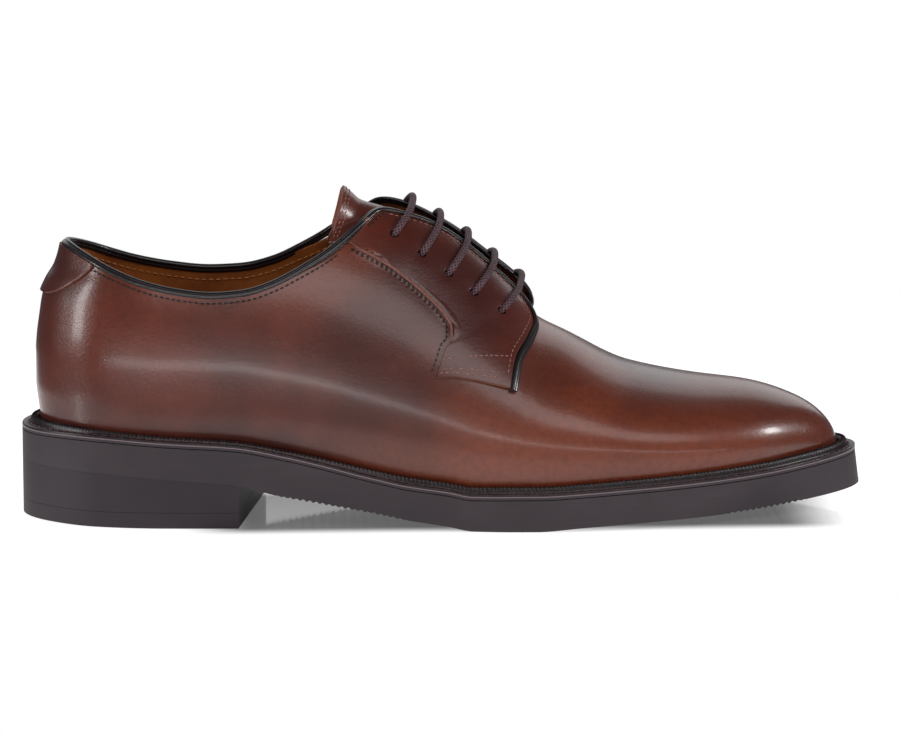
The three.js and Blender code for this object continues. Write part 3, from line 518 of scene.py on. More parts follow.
def walk_of(points):
    return np.concatenate([[0], np.cumsum(np.linalg.norm(np.diff(points, axis=0), axis=1))])


def read_at(places, walk, values):
    """Rows of values at places along a walked path."""
    return np.stack([np.interp(places, walk, column) for column in values.T], 1)


def resampled(points, count):
    walk = walk_of(points)
    return read_at(np.linspace(0, walk[-1], count), walk, points)


def eased(points, width):
    """Rounds a path's corners with a moving average of width points; the ends stay."""
    half = width // 2
    padded = np.concatenate([
        2 * points[:1] - points[1:half + 1][::-1], points, 2 * points[-1:] - points[-half - 1:-1][::-1],
    ])
    weights = np.hanning(2 * half + 3)[1:-1]
    weights /= weights.sum()
    return np.stack([np.convolve(column, weights, "valid") for column in padded.T], 1)


def tangents(points):
    return unit(np.gradient(points, axis=0))


def cord_mesh(name, path, radius, corners, materials, thins=False):
    """A round tube along path, with closed ends, that can thin out towards them."""
    tangent = tangents(path)
    side = np.zeros_like(path)
    guide = np.array([1.0, 0.0, 0.0])
    for i, t in enumerate(tangent):
        guide = unit(guide - t * (guide @ t))
        side[i] = guide
    other = np.cross(tangent, side)
    count = len(path) - 1

    def place(u, v):
        i = np.rint(u * count).astype(int)
        round_ = (2 * pi * v)[:, None]
        full = (0.35 + 0.65 * smooth(0, 0.08, u) * smooth(0, 0.2, 1 - u))[:, None] if thins else 1
        return path[i] + radius * full * (np.cos(round_) * side[i] + np.sin(round_) * other[i])

    tile = (walk_of(path)[-1], 2 * pi * radius)
    return shaped(name, count, corners, place, materials, tile=tile, steps=(weld, capped, outward))


def joined(name, pieces):
    """Several meshes as one piece."""
    bm = bmesh.new()
    for piece in pieces:
        bm.from_mesh(piece.data)
    materials = list(pieces[0].data.materials)
    whole = new_object(name, mesh_of(bm, name), materials)
    for piece in pieces:
        dropped(piece)
    return whole


def stitch_run(path, normal, pitch, length, thickness, phase=0.5):
    """Places of stitches along path: middle, direction and normal of each."""
    walk = walk_of(path)
    spots = np.arange(phase * pitch, walk[-1], pitch)
    at, over = read_at(spots, walk, path), unit(read_at(spots, walk, normal))
    ahead, behind = (read_at(spots + step, walk, path) for step in (pitch / 4, -pitch / 4))
    return at, unit(ahead - behind), over, length, thickness


def sewn(name, runs, materials):
    """All the stitches of some runs as one mesh of short round-ended threads."""
    bm = bmesh.new()
    bmesh.ops.create_uvsphere(bm, u_segments=6, v_segments=5, radius=0.5)
    bmesh.ops.triangulate(bm, faces=bm.faces)
    bm.verts.ensure_lookup_table()
    shape = np.array([v.co for v in bm.verts])
    faces = np.array([[v.index for v in face.verts] for face in bm.faces])
    bm.free()
    points, triangles = [], []
    for at, along, over, length, thickness in runs:
        across = unit(np.cross(over, along))
        for centre, a, b, c in zip(at, along, across, unit(over)):
            triangles.append(faces + len(points) * len(shape))
            points.append(centre + shape[:, :1] * thickness * b + shape[:, 1:2] * thickness * c
                          + shape[:, 2:] * length * a)
    mesh = bpy.data.meshes.new(name)
    mesh.from_pydata(in_frame(np.concatenate(points)).tolist(), [], np.concatenate(triangles).tolist())
    edited(mesh, outward, softened)
    return new_object(name, mesh, materials)


# Finishes

class Reading:
    """A socket in a finish, with the arithmetic of plain numbers."""

    def __init__(self, finish, socket):
        self.finish = finish
        self.socket = socket

    def _with(self, operation, a, b):
        return self.finish.node("ShaderNodeMath", {"operation": operation}, {0: a, 1: b})

    def __add__(self, other):
        return self._with("ADD", self, other)

    def __sub__(self, other):
        return self._with("SUBTRACT", self, other)

    def __mul__(self, other):
        return self._with("MULTIPLY", self, other)

    __radd__ = __add__
    __rmul__ = __mul__


class Finish:
    """One material, written node by node."""

    def __init__(self, name):
        self.material = bpy.data.materials.new(name)
        self.material.use_nodes = True
        self.tree = self.material.node_tree
        self.tree.nodes.clear()
        self.output = self.tree.nodes.new("ShaderNodeOutputMaterial")

    def node(self, kind, settings=None, inputs=None, output=0):
        made = self.tree.nodes.new(kind)
        for key, value in (settings or {}).items():
            setattr(made, key, value)
        for key, value in (inputs or {}).items():
            if isinstance(value, Reading):
                self.tree.links.new(value.socket, made.inputs[key])
            else:
                made.inputs[key].default_value = value
        return Reading(self, made.outputs[output])

    def place(self):
        return self.node("ShaderNodeTexCoord", output="Object")

    def uv(self):
        return self.node("ShaderNodeTexCoord", output="UV")

    def parts(self, vector):
        made = self.node("ShaderNodeSeparateXYZ", inputs={0: vector}).socket.node
        return [Reading(self, socket) for socket in made.outputs]

    def noise(self, place, scale, detail=2.0, roughness=0.5):
        return self.node("ShaderNodeTexNoise", inputs={
            "Vector": place, "Scale": scale, "Detail": detail, "Roughness": roughness,
        })

    def cells(self, place, scale):
        return self.node("ShaderNodeTexVoronoi", inputs={"Vector": place, "Scale": scale})

    def stretched(self, place, scale):
        return self.node("ShaderNodeMapping", inputs={"Vector": place, "Scale": scale})

    def range(self, value, low, high):
        return self.node("ShaderNodeMapRange", {"interpolation_type": "SMOOTHSTEP"}, {
            "Value": value, "From Min": low, "From Max": high,
        })

    def wave(self, value):
        return self.node("ShaderNodeMath", {"operation": "SINE"}, {0: value})

    def blend(self, share, a, b):
        a, b = ((*c, 1) if isinstance(c, tuple) else c for c in (a, b))
        return self.node("ShaderNodeMix", {"data_type": "RGBA"}, {0: share, 6: a, 7: b}, output=2)

    def bump(self, height, distance, strength=1.0, below=None):
        inputs = {"Height": height, "Distance": distance, "Strength": strength}
        if below:
            inputs["Normal"] = below
        return self.node("ShaderNodeBump", inputs=inputs)

    def surface(self, base_color, **sockets):
        names = {key.replace("_", " ").title().replace("Ior", "IOR"): value for key, value in sockets.items()}
        names["Base Color"] = (*base_color, 1) if isinstance(base_color, tuple) else base_color
        shader = self.node("ShaderNodeBsdfPrincipled", inputs=names)
        self.tree.links.new(shader.socket, self.output.inputs["Surface"])
        return self.material


def linear(*levels):
    """A colour read off as 0 to 255 levels, as the renderer wants it."""
    return tuple((c / 255 / 12.92) if c <= 10 else ((c / 255 + 0.055) / 1.055) ** 2.4 for c in levels)


def calf(name, dark, mid, warm):
    """Polished calf leather: burnished tone, fine pores and a waxed coat."""
    f = Finish(name)
    place = f.place()
    x = f.parts(place)[0]
    drift = f.range(f.noise(place, 16, 3, 0.55), 0.34, 0.68)
    glow = f.range(f.noise(place, 9, 2, 0.5), 0.42, 0.66)
    toe = f.range(x, 0.095, 0.148)
    heel = f.range(x, -0.118, -0.146)
    colour = f.blend(drift, dark, mid)
    colour = f.blend(glow * 0.55, colour, warm)
    colour = f.blend((toe + heel) * 0.45, colour, dark)
    pores = f.cells(place, 1500)
    fine = f.noise(place, 2600, 3, 0.6)
    mottle = f.noise(place, 420, 4, 0.62)
    colour = f.blend(f.range(mottle, 0.35, 0.7) * 0.3, colour, dark)
    rub = f.noise(f.stretched(place, (40, 220, 300)), 1.0, 4, 0.6)
    height = f.range(pores, 0.0, 0.55) * 0.5 + fine * 0.35 + mottle * 0.3
    skin = f.bump(f.noise(place, 60, 2, 0.5), 0.0006, 0.10)
    skin = f.bump(f.noise(place, 900, 3, 0.6), 0.00025, 0.35, skin)
    skin = f.bump(height, 0.00008, 0.35, skin)
    return f.surface(base_color=colour, roughness=0.27 + rub * 0.12 - toe * 0.06, normal=skin,
                     coat_weight=0.35 + toe * 0.3, coat_roughness=0.16, coat_ior=1.5, ior=1.48)


def fibrous(name, light, dark, noise, spread, roughness, relief):
    """Paler fibres over a darker ground, as on a cut edge of leather or in a thread."""
    f = Finish(name)
    fibre = f.noise(f.place(), *noise)
    colour = f.blend(f.range(fibre, 0.5 - spread, 0.5 + spread), dark, light)
    return f.surface(base_color=colour, roughness=roughness, normal=f.bump(fibre, 0.0001, relief))


def raw_edge(name, light, dark):
    return fibrous(name, light, dark, (1800, 4, 0.7), 0.20, 0.62, 0.5)


def thread(name, light, dark):
    return fibrous(name, light, dark, (2400, 2, 0.5), 0.15, 0.5, 0.4)


def lining_leather(name, light, dark):
    f = Finish(name)
    place = f.place()
    cloud = f.noise(place, 45, 4, 0.6)
    grain = f.noise(place, 1500, 3, 0.6)
    colour = f.blend(f.range(cloud, 0.3, 0.7), dark, light)
    colour = f.blend(f.range(grain, 0.4, 0.7) * 0.2, colour, dark)
    return f.surface(base_color=colour, roughness=0.52 + grain * 0.1, normal=f.bump(grain, 0.00008, 0.35))


def bound_leather(name, dark, light):
    """Narrow folded leather of the binding, waxed to a shine on its bends."""
    f = Finish(name)
    place = f.place()
    grain = f.noise(place, 900, 4, 0.6)
    colour = f.blend(f.range(grain, 0.4, 0.75) * 0.5, dark, light)
    return f.surface(base_color=colour, roughness=0.30 + grain * 0.12, coat_weight=0.4, coat_roughness=0.15,
                     normal=f.bump(grain, 0.00008, 0.4))


def welt_finish(name, dark, light):
    """Welt leather with a ribbed storm bead, dark wax in its hollows."""
    f = Finish(name)
    place = f.place()
    grain = f.noise(place, 700, 4, 0.65)
    rubbed = f.noise(place, 130, 3, 0.6)
    _, up, _ = f.parts(f.uv())
    # Painted highlight: a pale mauve line low on the welt's outer side, standing in for the light caught on
    # its rounded outer edge
    line = f.range(up, 0.00082, 0.00090) * f.range(up, 0.00118, 0.00108)
    colour = f.blend(f.range(grain, 0.42, 0.72) * 0.6 + f.range(rubbed, 0.5, 0.75) * 0.3, dark, light)
    colour = f.blend(line * 0.8, colour, linear(142, 122, 128))
    return f.surface(base_color=colour, roughness=0.30 + grain * 0.14, normal=f.bump(grain, 0.00015, 0.5))


def sole_rubber(name, dark, light):
    """Moulded rubber, matt with a faint bloom and fine buffing marks."""
    f = Finish(name)
    place = f.place()
    buff = f.noise(f.stretched(place, (60, 60, 1400)), 1.0, 3, 0.6)
    cloud = f.noise(place, 30, 3, 0.55)
    colour = f.blend(f.range(cloud, 0.3, 0.7) * 0.5 + f.range(buff, 0.4, 0.7) * 0.25, dark, light)
    height = buff * 0.5 + f.noise(place, 2200, 2, 0.5) * 0.5
    return f.surface(base_color=colour, roughness=0.56 + buff * 0.12, normal=f.bump(height, 0.00006, 0.3))


def woven_cord(name, dark, light):
    """Waxed cotton lace: a round braid whose strands cross at a steep angle."""
    f = Finish(name)
    along, around, _ = f.parts(f.uv())
    strand = 2 * pi / 0.0015
    one, two = f.wave((along + around) * strand), f.wave((along - around) * strand)
    weave = f.node("ShaderNodeMath", {"operation": "MAXIMUM"}, {0: one, 1: two})
    fuzz = f.noise(f.place(), 2600, 2, 0.6)
    # Painted shade and highlight: the braid is darker in the grooves between strands and lighter, with a
    # mauve tint, on their crests
    colour = f.blend(f.range(weave, -0.4, 0.9), dark, light)
    colour = f.blend(f.range(fuzz, 0.5, 0.8) * 0.4, colour, light)
    return f.surface(base_color=colour, roughness=0.58, normal=f.bump(weave * 0.8 + fuzz * 0.3, 0.00024, 0.9))


CALF = calf("calf", linear(64, 22, 13), linear(104, 44, 26), linear(132, 64, 35))
FACING_CALF = calf("facing_calf", linear(62, 20, 13), linear(90, 33, 20), linear(112, 48, 27))
EDGE = raw_edge("cut_edge", linear(150, 98, 62), linear(96, 52, 34))
# Pale pinkish edge leather: partly the cut edges' own colour, partly a painted highlight where it forms the
# raised seam edge over the facings
EDGE_AND_SEAM_HIGHLIGHT = raw_edge("burnished_edge_and_seam_highlight", linear(142, 92, 80), linear(92, 52, 44))
LINING_TAN = lining_leather("lining_tan", linear(176, 104, 44), linear(128, 66, 26))
INSOLE_TAN = lining_leather("insole_tan", linear(170, 108, 58), linear(132, 76, 38))
BINDING = bound_leather("binding_black", linear(16, 10, 12), linear(34, 24, 28))
WELT = welt_finish("welt_black", linear(20, 12, 15), linear(62, 42, 46))
RUBBER = sole_rubber("sole_rubber", linear(42, 34, 39), linear(60, 50, 56))
HEEL_RUBBER = sole_rubber("heel_rubber", linear(34, 25, 31), linear(47, 37, 43))
LACE = woven_cord("lace_cord", linear(26, 12, 17), linear(96, 68, 76))
DARK_THREAD = thread("dark_thread", linear(30, 12, 10), linear(16, 7, 6))
LIGHT_THREAD = thread("light_thread", linear(168, 122, 110), linear(110, 70, 60))
WELT_THREAD = thread("welt_thread", linear(110, 76, 76), linear(62, 42, 46))
TAN_THREAD = thread("tan_thread", linear(190, 122, 58), linear(140, 84, 36))


# The upper's edges

JOIN_X = SHOE_LENGTH * FACING["rear_at"][0]
THROAT_END = 183.0
HIDDEN_EDGE = 3.0


def facing_front(row):
    return FACING_CURVES["front_at"](row), FACING_CURVES["front_girth"](row)


def facing_rear(row):
    return FACING_CURVES["rear_at"](row), FACING_CURVES["rear_girth"](row)


def throat_curve(side):
    """How far round each section the body's hidden edge beside the throat lies, as |s| at x."""
    rows = np.linspace(0.05, 0.58, 9)
    x, girth = facing_front(rows)
    _, s = on_pattern(x, np.full_like(x, side), girth + HIDDEN_EDGE)
    start = abs(float(topline_s(angle_at(JOIN_X), side, 1.0)))
    places = np.concatenate([[JOIN_X], x, [THROAT_END]])
    return Curve(places, np.concatenate([[start], np.abs(s), [0.0]]))


THROATS = {side: throat_curve(side) for side in (LATERAL, MEDIAL)}


def body_edge(angle, side, drop):
    """|s| of the body's upper edge: the topline, then the throat, then the ridge."""
    x = UPPER_START + UPPER_LENGTH * at_of(angle)
    collar = np.abs(topline_s(angle, side, drop))
    throat = THROATS[side](x)
    return np.where(x < JOIN_X, collar, np.where(x < THROAT_END, throat, 0.0))


def beside(x, girth, shift):
    """A line on the pattern, moved sideways by shift."""
    along = unit(np.stack([np.gradient(x), np.gradient(girth)], 1))
    return x - along[:, 1] * shift, girth + along[:, 0] * shift


def seam_path(side, first=0.0, last=0.97, count=240, shift=0.0):
    """The rear seam, where the body lies over the facing, moved back on the pattern by shift."""
    rows = np.linspace(first, last, count)
    x, girth = beside(*facing_rear(rows), shift)
    return *pattern_spot(x, side, girth), rows


def lip_rise(distance, row):
    """How far the body stands up towards the seam, distance behind it."""
    full = smooth(0.03, 0.16, row) * (1 - smooth(0.62, 0.84, row))
    return LIP_HEIGHT * full * (1 - smooth(0, LIP_WIDTH, distance))


def body_off(points, side):
    """Height of the body's outer face over the last: the lip behind the facing's rear seam."""
    off = np.zeros(len(points))
    seam, over, rows = seam_path(side)
    near = (points[:, 0] > seam[:, 0].min() - 14) & (points[:, 0] < seam[:, 0].max() + 8)
    near &= points[:, 2] > seam[:, 2].min() - 8
    spots = np.nonzero(near)[0]
    gap = np.linalg.norm(points[spots, None] - seam[None], axis=2)
    closest = gap.argmin(1)
    inward = np.cross(tangents(seam)[closest], over[closest]) * side
    behind = ((points[spots] - seam[closest]) * inward).sum(1)
    distance = gap.min(1) * np.sign(behind)
    rise = lip_rise(np.maximum(distance, 0), rows[closest])
    ahead = smooth(-0.35, 0.65, distance)
    past_end = smooth(2.5, 0.5, gap.min(1) - np.abs(behind))
    off[spots] = rise * ahead * past_end
    return off


def half_shell(name, side, along, across, drop, off, materials):
    """One side of the body from its feather line up to its edge. Without off it has the seam's lip."""
    def place(u, v):
        angle = pi * u
        edge = body_edge(angle, side, drop)
        s = side * (edge + (1 - edge) * v)
        points = last_point(angle, s)
        rise = body_off(points, side) if off is None else np.full(len(points), float(off))
        return points + last_normal(angle, s) * rise[:, None]

    steps = (turned_over,) if side == LATERAL else ()
    return shaped(name, along, across, place, materials, steps=steps)


def shell(name, along, across, drop, off, thickness, materials):
    halves = [half_shell(f"{name}_{key}", side, along, across, drop, off, materials)
              for key, side in SIDES.items()]
    whole = joined(name, halves)
    edited(whole.data, weld)
    return baked(whole, walled(thickness), rounded(0.2, 1))


def make_upper():
    upper = shell("upper_body", 260, 72, 1.2, None, OUTER_LEATHER, [CALF, LINING_TAN, EDGE_AND_SEAM_HIGHLIGHT])
    return on_body(upper, "upper_leather", "upper")


def make_lining():
    lining = shell("upper_lining", 150, 40, 0.6, -OUTER_LEATHER - LINING_GAP, LINING, [LINING_TAN] * 3)
    return on_body(lining, "insole_leather")


# Facings

LIFTS = {LATERAL: Curve(LIFT["row"], LIFT["outer"]), MEDIAL: Curve(LIFT["row"], LIFT["inner"])}


def facing_lift(side, row, girth):
    near = 1 - smooth(0.12, 0.50, girth / BALL_WIDTH)
    return FACING_RISE * LIFTS[side](row) * near


def facing_spot(row, share, inset=1.2):
    front_x, front_girth = facing_front(row)
    ahead_x, ahead_girth = facing_front(np.minimum(row + 0.01, 1))
    back_x, back_girth = facing_front(np.maximum(row - 0.01, 0))
    along = unit(np.stack([ahead_x - back_x, ahead_girth - back_girth], -1))
    front_x, front_girth = front_x - along[..., 1] * inset, front_girth + along[..., 0] * inset
    rear_x, rear_girth = facing_rear(row)
    return mix(front_x, rear_x, share), mix(front_girth, rear_girth, share)


def eyelet_centres(side):
    return pattern_spot(EYELETS["at"] * SHOE_LENGTH, side, EYELETS["girth"] * BALL_WIDTH)


def facing_top(side, row, share, girth):
    """Height of the facing's outer face: full beside the throat, skived down at the rear seam."""
    return FIT + facing_lift(side, row, girth) + mix(FACING_THICKNESS, SKIVED_EDGE, share)


def make_facing(key, side):
    centres, outwards = eyelet_centres(side)

    def place(u, v):
        x, girth = facing_spot(u, v)
        base, normal = pattern_spot(x, side, girth)
        dimple = np.zeros_like(x)
        for centre in centres:
            dimple += np.exp(-((np.linalg.norm(base - centre, axis=1) / EYELET_DIMPLE_REACH) ** 2))
        return base + normal * (facing_top(side, u, v, girth) - EYELET_DIMPLE * dimple)[:, None]

    steps = (turned_over,) if side == LATERAL else ()
    facing = shaped(f"facing_{key}_leather", 150, 46, place, [FACING_CALF, LINING_TAN, EDGE], steps=steps)
    pins = []
    for i, (centre, normal) in enumerate(zip(centres, outwards)):
        pin_line = centre + normal * np.linspace(PIN_INWARD, PIN_OUTWARD, 3)[:, None]
        pins.append(cord_mesh(f"pin_{i}", pin_line, EYELET_DIAMETER / 2, 24, [EDGE_AND_SEAM_HIGHLIGHT]))
    cutter = joined("eyelet_pins", pins)
    holes = ("BOOLEAN", {"operation": "DIFFERENCE", "object": cutter, "solver": "EXACT"})
    baked(facing, walled(FACING_THICKNESS - EYELET_DIMPLE), holes, rounded(0.28))
    dropped(cutter)
    return on_body(facing, "upper_leather", f"facing_{key}")


def make_seam_edge(key, side):
    """The body's cut edge where it lies over the facing, thinning out at both ends. Its pale pinkish colour
    is partly the cut edge's own and partly a painted highlight along the raised edge.
    """
    seam, normal, rows = seam_path(side, first=0.03, last=0.78)
    height = lip_rise(0, rows) - 0.42
    path = resampled(eased(seam + normal * height[:, None], 5), 150)
    edge = cord_mesh(f"seam_edge_{key}", path, SEAM_EDGE_RADIUS, 10, [EDGE_AND_SEAM_HIGHLIGHT], thins=True)
    return on_body(edge, "upper_leather")


def make_heel_tab():
    def place(u, v):
        across = 2 * u - 1
        share = np.abs(across)
        angle = angle_of(TAB_HALF_SPAN * share ** 1.7)
        side = np.where(across < 0, -1.0, 1.0)
        high = np.empty_like(angle)
        for sign in (LATERAL, MEDIAL):
            mine = side == sign
            high[mine] = last_point(angle[mine], topline_s(angle[mine], sign, 1.0))[:, 2]
        low = high - mix(TAB_DEPTH - 2, 1.0, share ** 2.6)
        z = mix(low, high, v)
        s = np.where(side < 0, *(s_where(angle, sign, lambda x: z) for sign in (LATERAL, MEDIAL)))
        return off_last(angle, s, np.full_like(z, TAB_THICKNESS + 0.05))

    tab = shaped("heel_tab_leather", 90, 26, place, [CALF, CALF, EDGE_AND_SEAM_HIGHLIGHT], steps=(outward,))
    baked(tab, walled(TAB_THICKNESS), rounded(0.3))
    return on_body(tab, "upper_leather", "heel_tab")


# Binding: overlapping beads along every top edge

BINDING_BEADS = [((0.45, -0.15), 1.05), ((-0.35, 0.72), 0.95), ((-0.75, -0.62), 0.85)]
BINDING_HALF = 1.62
BINDING_STATIONS = 900


def binding_path():
    """The middle of the binding from the outer facing's end round the collar to the inner one's."""
    half_grip = FACING_THICKNESS / 2 + BINDING_GRIP / 2
    corner = angle_at(JOIN_X)
    strips = []
    for side in (LATERAL, MEDIAL):
        rows = np.linspace(1, 0, 260)
        x, girth = facing_front(rows)
        angle, s = on_pattern(x, np.full_like(x, side), girth)
        off = 1.5 * FIT + half_grip + facing_lift(side, rows, girth)
        share = np.linspace(0, 1, 24)[1:]
        collar = np.linspace(0, 1, 300)[1:]
        blend = smooth(0, 0.12, collar)
        back = corner * (1 - collar)
        angle = np.concatenate([angle, mix(angle[-1], corner, share), back])
        s = np.concatenate([s, mix(s[-1], float(topline_s(corner, side)), share), topline_s(back, side)])
        off = np.concatenate([off, np.full_like(share, off[-1]), mix(off[-1], -WALL / 2, blend)])
        half = np.full_like(off, half_grip)
        half[-len(collar):] = mix(half_grip, WALL / 2 + BINDING_GRIP, blend)
        strips.append((off_last(angle, s, off), last_normal(angle, s), half))
    return [np.concatenate([outer, inner[::-1][1:]]) for outer, inner in zip(*strips)]


def bead_profile(angle, beads):
    """Distance from the middle to the outline of overlapping round beads, in direction angle."""
    direction = np.stack([np.cos(angle), np.sin(angle)], -1)
    reach = np.zeros_like(angle)
    for centre, radius in beads:
        centre = np.array(centre)
        near = direction @ centre
        inside = radius ** 2 - centre @ centre + near ** 2
        far = near + np.sqrt(np.maximum(inside, 0))
        reach = np.maximum(reach, np.where(inside > 0, far, 0))
    return reach


def make_binding():
    frames = resampled(np.column_stack(binding_path()), BINDING_STATIONS + 1)
    frames = eased(frames, 21)
    path, normal, half = frames[:, :3], unit(frames[:, 3:6]), frames[:, 6]
    along = tangents(path)
    up = unit(np.cross(along, normal))
    normal = unit(np.cross(up, along))
    up = up * (np.sign(up[BINDING_STATIONS // 4, 2]) or 1.0)

    def place(u, v):
        i = np.rint(u * BINDING_STATIONS).astype(int)
        turn = 2 * pi * v
        reach = bead_profile(turn, BINDING_BEADS)
        over, out = np.cos(turn) * reach, np.sin(turn) * reach * half[i] / BINDING_HALF
        return path[i] + up[i] * over[:, None] + normal[i] * out[:, None]

    tile = (walk_of(path)[-1], 10)
    binding = shaped("binding_strip", BINDING_STATIONS, 30, place, [BINDING],
                     tile=tile, steps=(weld, capped, outward))
    return on_body(binding, "binding_leather", "binding")


# Tongue

def tongue_spot(row, share):
    """A place on the tongue: the last's point and normal there, and how far off the last it lies."""
    names = ("at", "sweep", "rise", "crown")
    at, sweep, rise, crown = (Curve(TONGUE["row"], TONGUE[name])(row) for name in names)
    x = SHOE_LENGTH * (at - sweep * share * share)
    drop = TONGUE_DROP * (1 - smooth(0.42, 0.5, x / SHOE_LENGTH))
    off = TONGUE_CROWN * rise * np.maximum(1 - (share / crown) ** 2, 0) - WALL - 2 * FIT - drop
    angle, s = across_instep(x, share * mix(TONGUE_TOP_WIDTH, TONGUE_FRONT_WIDTH, row))
    return last_point(angle, s), last_normal(angle, s), off


def make_tongue():
    def place(u, v):
        points, normal, off = tongue_spot(u, 2 * v - 1)
        return points + normal * off[:, None]

    tongue = shaped("tongue_leather", 110, 60, place, [FACING_CALF, LINING_TAN, EDGE_AND_SEAM_HIGHLIGHT])
    baked(tongue, walled(TONGUE_THICKNESS - 0.4, even=True), rounded(0.35))
    return on_body(tongue, "upper_leather", "tongue")


# Welt, sole and heel

WELT_PROFILE = table(
    "share reach height",
    (0.00, 1.00, 0.00), (0.06, 1.00, 0.90), (0.12, 1.00, 1.80), (0.15, 0.985, 2.10), (0.19, 0.94, 2.25),
    (0.24, 0.86, 2.20), (0.30, 0.76, 1.95), (0.36, 0.66, 1.85), (0.42, 0.585, 1.95), (0.46, 0.555, 2.35),
    (0.52, 0.530, 3.10), (0.58, 0.470, 3.85), (0.65, 0.370, 4.20), (0.72, 0.260, 4.15), (0.78, 0.170, 3.75),
    (0.83, 0.120, 3.10), (0.88, 0.100, 2.00), (0.94, 0.100, 0.00), (1.00, 1.00, 0.00),
)
RIB_PITCH = 1.5
RIB_DEPTH = 0.2
WELT_GROOVE_SHARE = 0.66
WELT_GROOVE_HEIGHT = 1.95


def make_welt():
    reach_of = Curve(WELT_PROFILE["share"], WELT_PROFILE["reach"])
    height_of = Curve(WELT_PROFILE["share"], WELT_PROFILE["height"])
    ribs = round(RING_LENGTH / RIB_PITCH)
    rib_share = Curve(RIB["at"] * SHOE_LENGTH, RIB["share"])

    def place(u, v):
        t = ring_t(u * RING_LENGTH)
        edge = ring(t, CREASE_HEIGHT, sole_reach(t))
        height = height_of(v)
        over_welt = (height - WELT_THICKNESS) / (RIB_HEIGHT - WELT_THICKNESS)
        taller = WELT_THICKNESS + (RIB_HEIGHT * rib_share(edge[:, 0]) - WELT_THICKNESS) * over_welt
        tall = np.where(height > WELT_THICKNESS, taller, height)
        bead = smooth(0.47, 0.56, v) * (1 - smooth(0.72, 0.82, v))
        tall = tall + RIB_DEPTH * bead * np.cos(2 * pi * u * ribs)
        lean_in = np.where(height / RIB_HEIGHT > 0.75, tall - 0.8, CREASE_HEIGHT)
        points = ring(t, np.clip(lean_in, 0, 6), reach_of(v) * sole_reach(t))
        points[:, 2] = sole_top(points[:, 0]) + FIT + tall
        return points

    tile = (RING_LENGTH, 14)
    welt = shaped("welt_strip", ribs * 4, 34, place, [WELT, RUBBER], tile=tile, steps=(weld, outward))
    edge = WELT_PROFILE["share"][1] * tile[1] / 1000
    turns = welt.data.uv_layers[0].data
    for face in welt.data.polygons:
        face.material_index = int(max(turns[k].uv[1] for k in face.loop_indices) < edge)
    return on_body(welt, "welt_leather", "welt")


def make_welt_stitches():
    t = ring_t(np.linspace(0, RING_LENGTH, 2400))
    path = ring(t, CREASE_HEIGHT, WELT_GROOVE_SHARE * sole_reach(t))
    path[:, 2] = sole_top(path[:, 0]) + FIT + WELT_GROOVE_HEIGHT
    up = np.tile([0.0, 0.0, 1.0], (len(path), 1))
    stitches = sewn("welt_stitches", [stitch_run(path, up, 3.3, 2.7, 0.85)], [WELT_THREAD])
    return on_body(stitches, "welt_leather")


TREAD_PITCH = 3.8
TREAD_DEPTH = 0.9
EDGE_PITCH = 2.3
EDGE_DEPTH = 0.55


def tread(x, y):
    """How deep the underside's grooves go, from 0 on a cleat to 1 in a groove."""
    across = (x + 1.4 * np.abs(np.mod(y / 5.2, 2) - 1)) / TREAD_PITCH
    return smooth(0.58, 0.80, np.abs(2 * np.mod(across, 1) - 1))


def section_loft(name, stations, walls, across, stop, top, under, materials, cap=False):
    """A closed form between two outlines, section by section: up one side, over and down the other.
    With cap it ends at the heel's breast."""
    total = 2 * (walls + across)
    turn = across + walls

    def place(u, v):
        angle = angle_of(mix(0, stop, at_of(pi * u))) if cap else pi * u
        back = 2 * pi - angle
        k = np.rint(v * total).astype(int) % total
        up = np.interp(k, [0, across, turn, across + turn, total], [0, 0, 1, 1, 0])
        over = np.interp(k, [0, across, turn, across + turn, total], [0, 1, 1, 0, 0])[:, None]
        low, high = (
            mix(ring(angle, CREASE_HEIGHT, reach(angle)), ring(back, CREASE_HEIGHT, reach(back)), over)
            for reach in (under_reach, sole_reach)
        )
        points = mix(low, high, up[:, None])
        if cap:
            breast = HEEL_LENGTH + HEEL_SLANT * points[:, 1] / HEEL_WIDTH
            whole = UPPER_START + UPPER_LENGTH * stop
            pull = smooth(0.35, 1.0, u) * smooth(0, 1, points[:, 0] / whole)
            points[:, 0] = mix(points[:, 0], breast, pull)
            points[:, 0] = np.where(u > 0.999, breast, np.minimum(points[:, 0], breast))
        points[:, 2] = mix(under(points[:, 0], points[:, 1], up, over[:, 0]), top(points[:, 0]), up)
        return points

    steps = (weld, capped, outward) if cap else (weld, outward)
    return shaped(name, stations, total, place, materials, steps=steps)


def make_outsole():
    def under(x, y, up, over):
        inside = smooth(0.02, 0.05, np.minimum(over, 1 - over))
        lowest = 1 - smooth(0, 0.02, up)
        arch = smooth(88, 98, x) * (1 - smooth(132, 142, x))
        notched = arch + smooth(250, 258, x) * (1 - smooth(276, 286, x))
        notch = EDGE_DEPTH * smooth(0.35, 0.75, np.abs(2 * np.mod(x / EDGE_PITCH, 1) - 1)) * notched
        groove = mix(notch, TREAD_DEPTH * tread(x, y), inside) * lowest
        return SOLE_UNDER(x) + groove * smooth(HEEL_LENGTH - 12, HEEL_LENGTH - 6, x)

    sole = section_loft("outsole_rubber", 700, 8, 44, 1, sole_top, under, [RUBBER])
    return on_body(sole, "sole_rubber", "outsole")


def make_heel_piece(name, node, walls, top, under, edge):
    piece = section_loft(name, 130, walls, 24, (HEEL_LENGTH - UPPER_START) / UPPER_LENGTH, top, under,
                         [HEEL_RUBBER], cap=True)
    baked(piece, rounded(edge))
    return on_body(piece, "sole_rubber", node)


def make_heel():
    """The block stops just under the sole, and the top piece carries it."""
    make_heel_piece("heel_stack", "heel_block", 8, lambda x: SOLE_UNDER(x) - 0.05,
                    lambda x, y, up, over: TOP_PIECE + 0.1 + 0 * x, 0.35)
    make_heel_piece("heel_tread", "heel_top_piece", 6, lambda x: TOP_PIECE + 0 * x,
                    lambda x, y, up, over: 0 * x, 0.45)


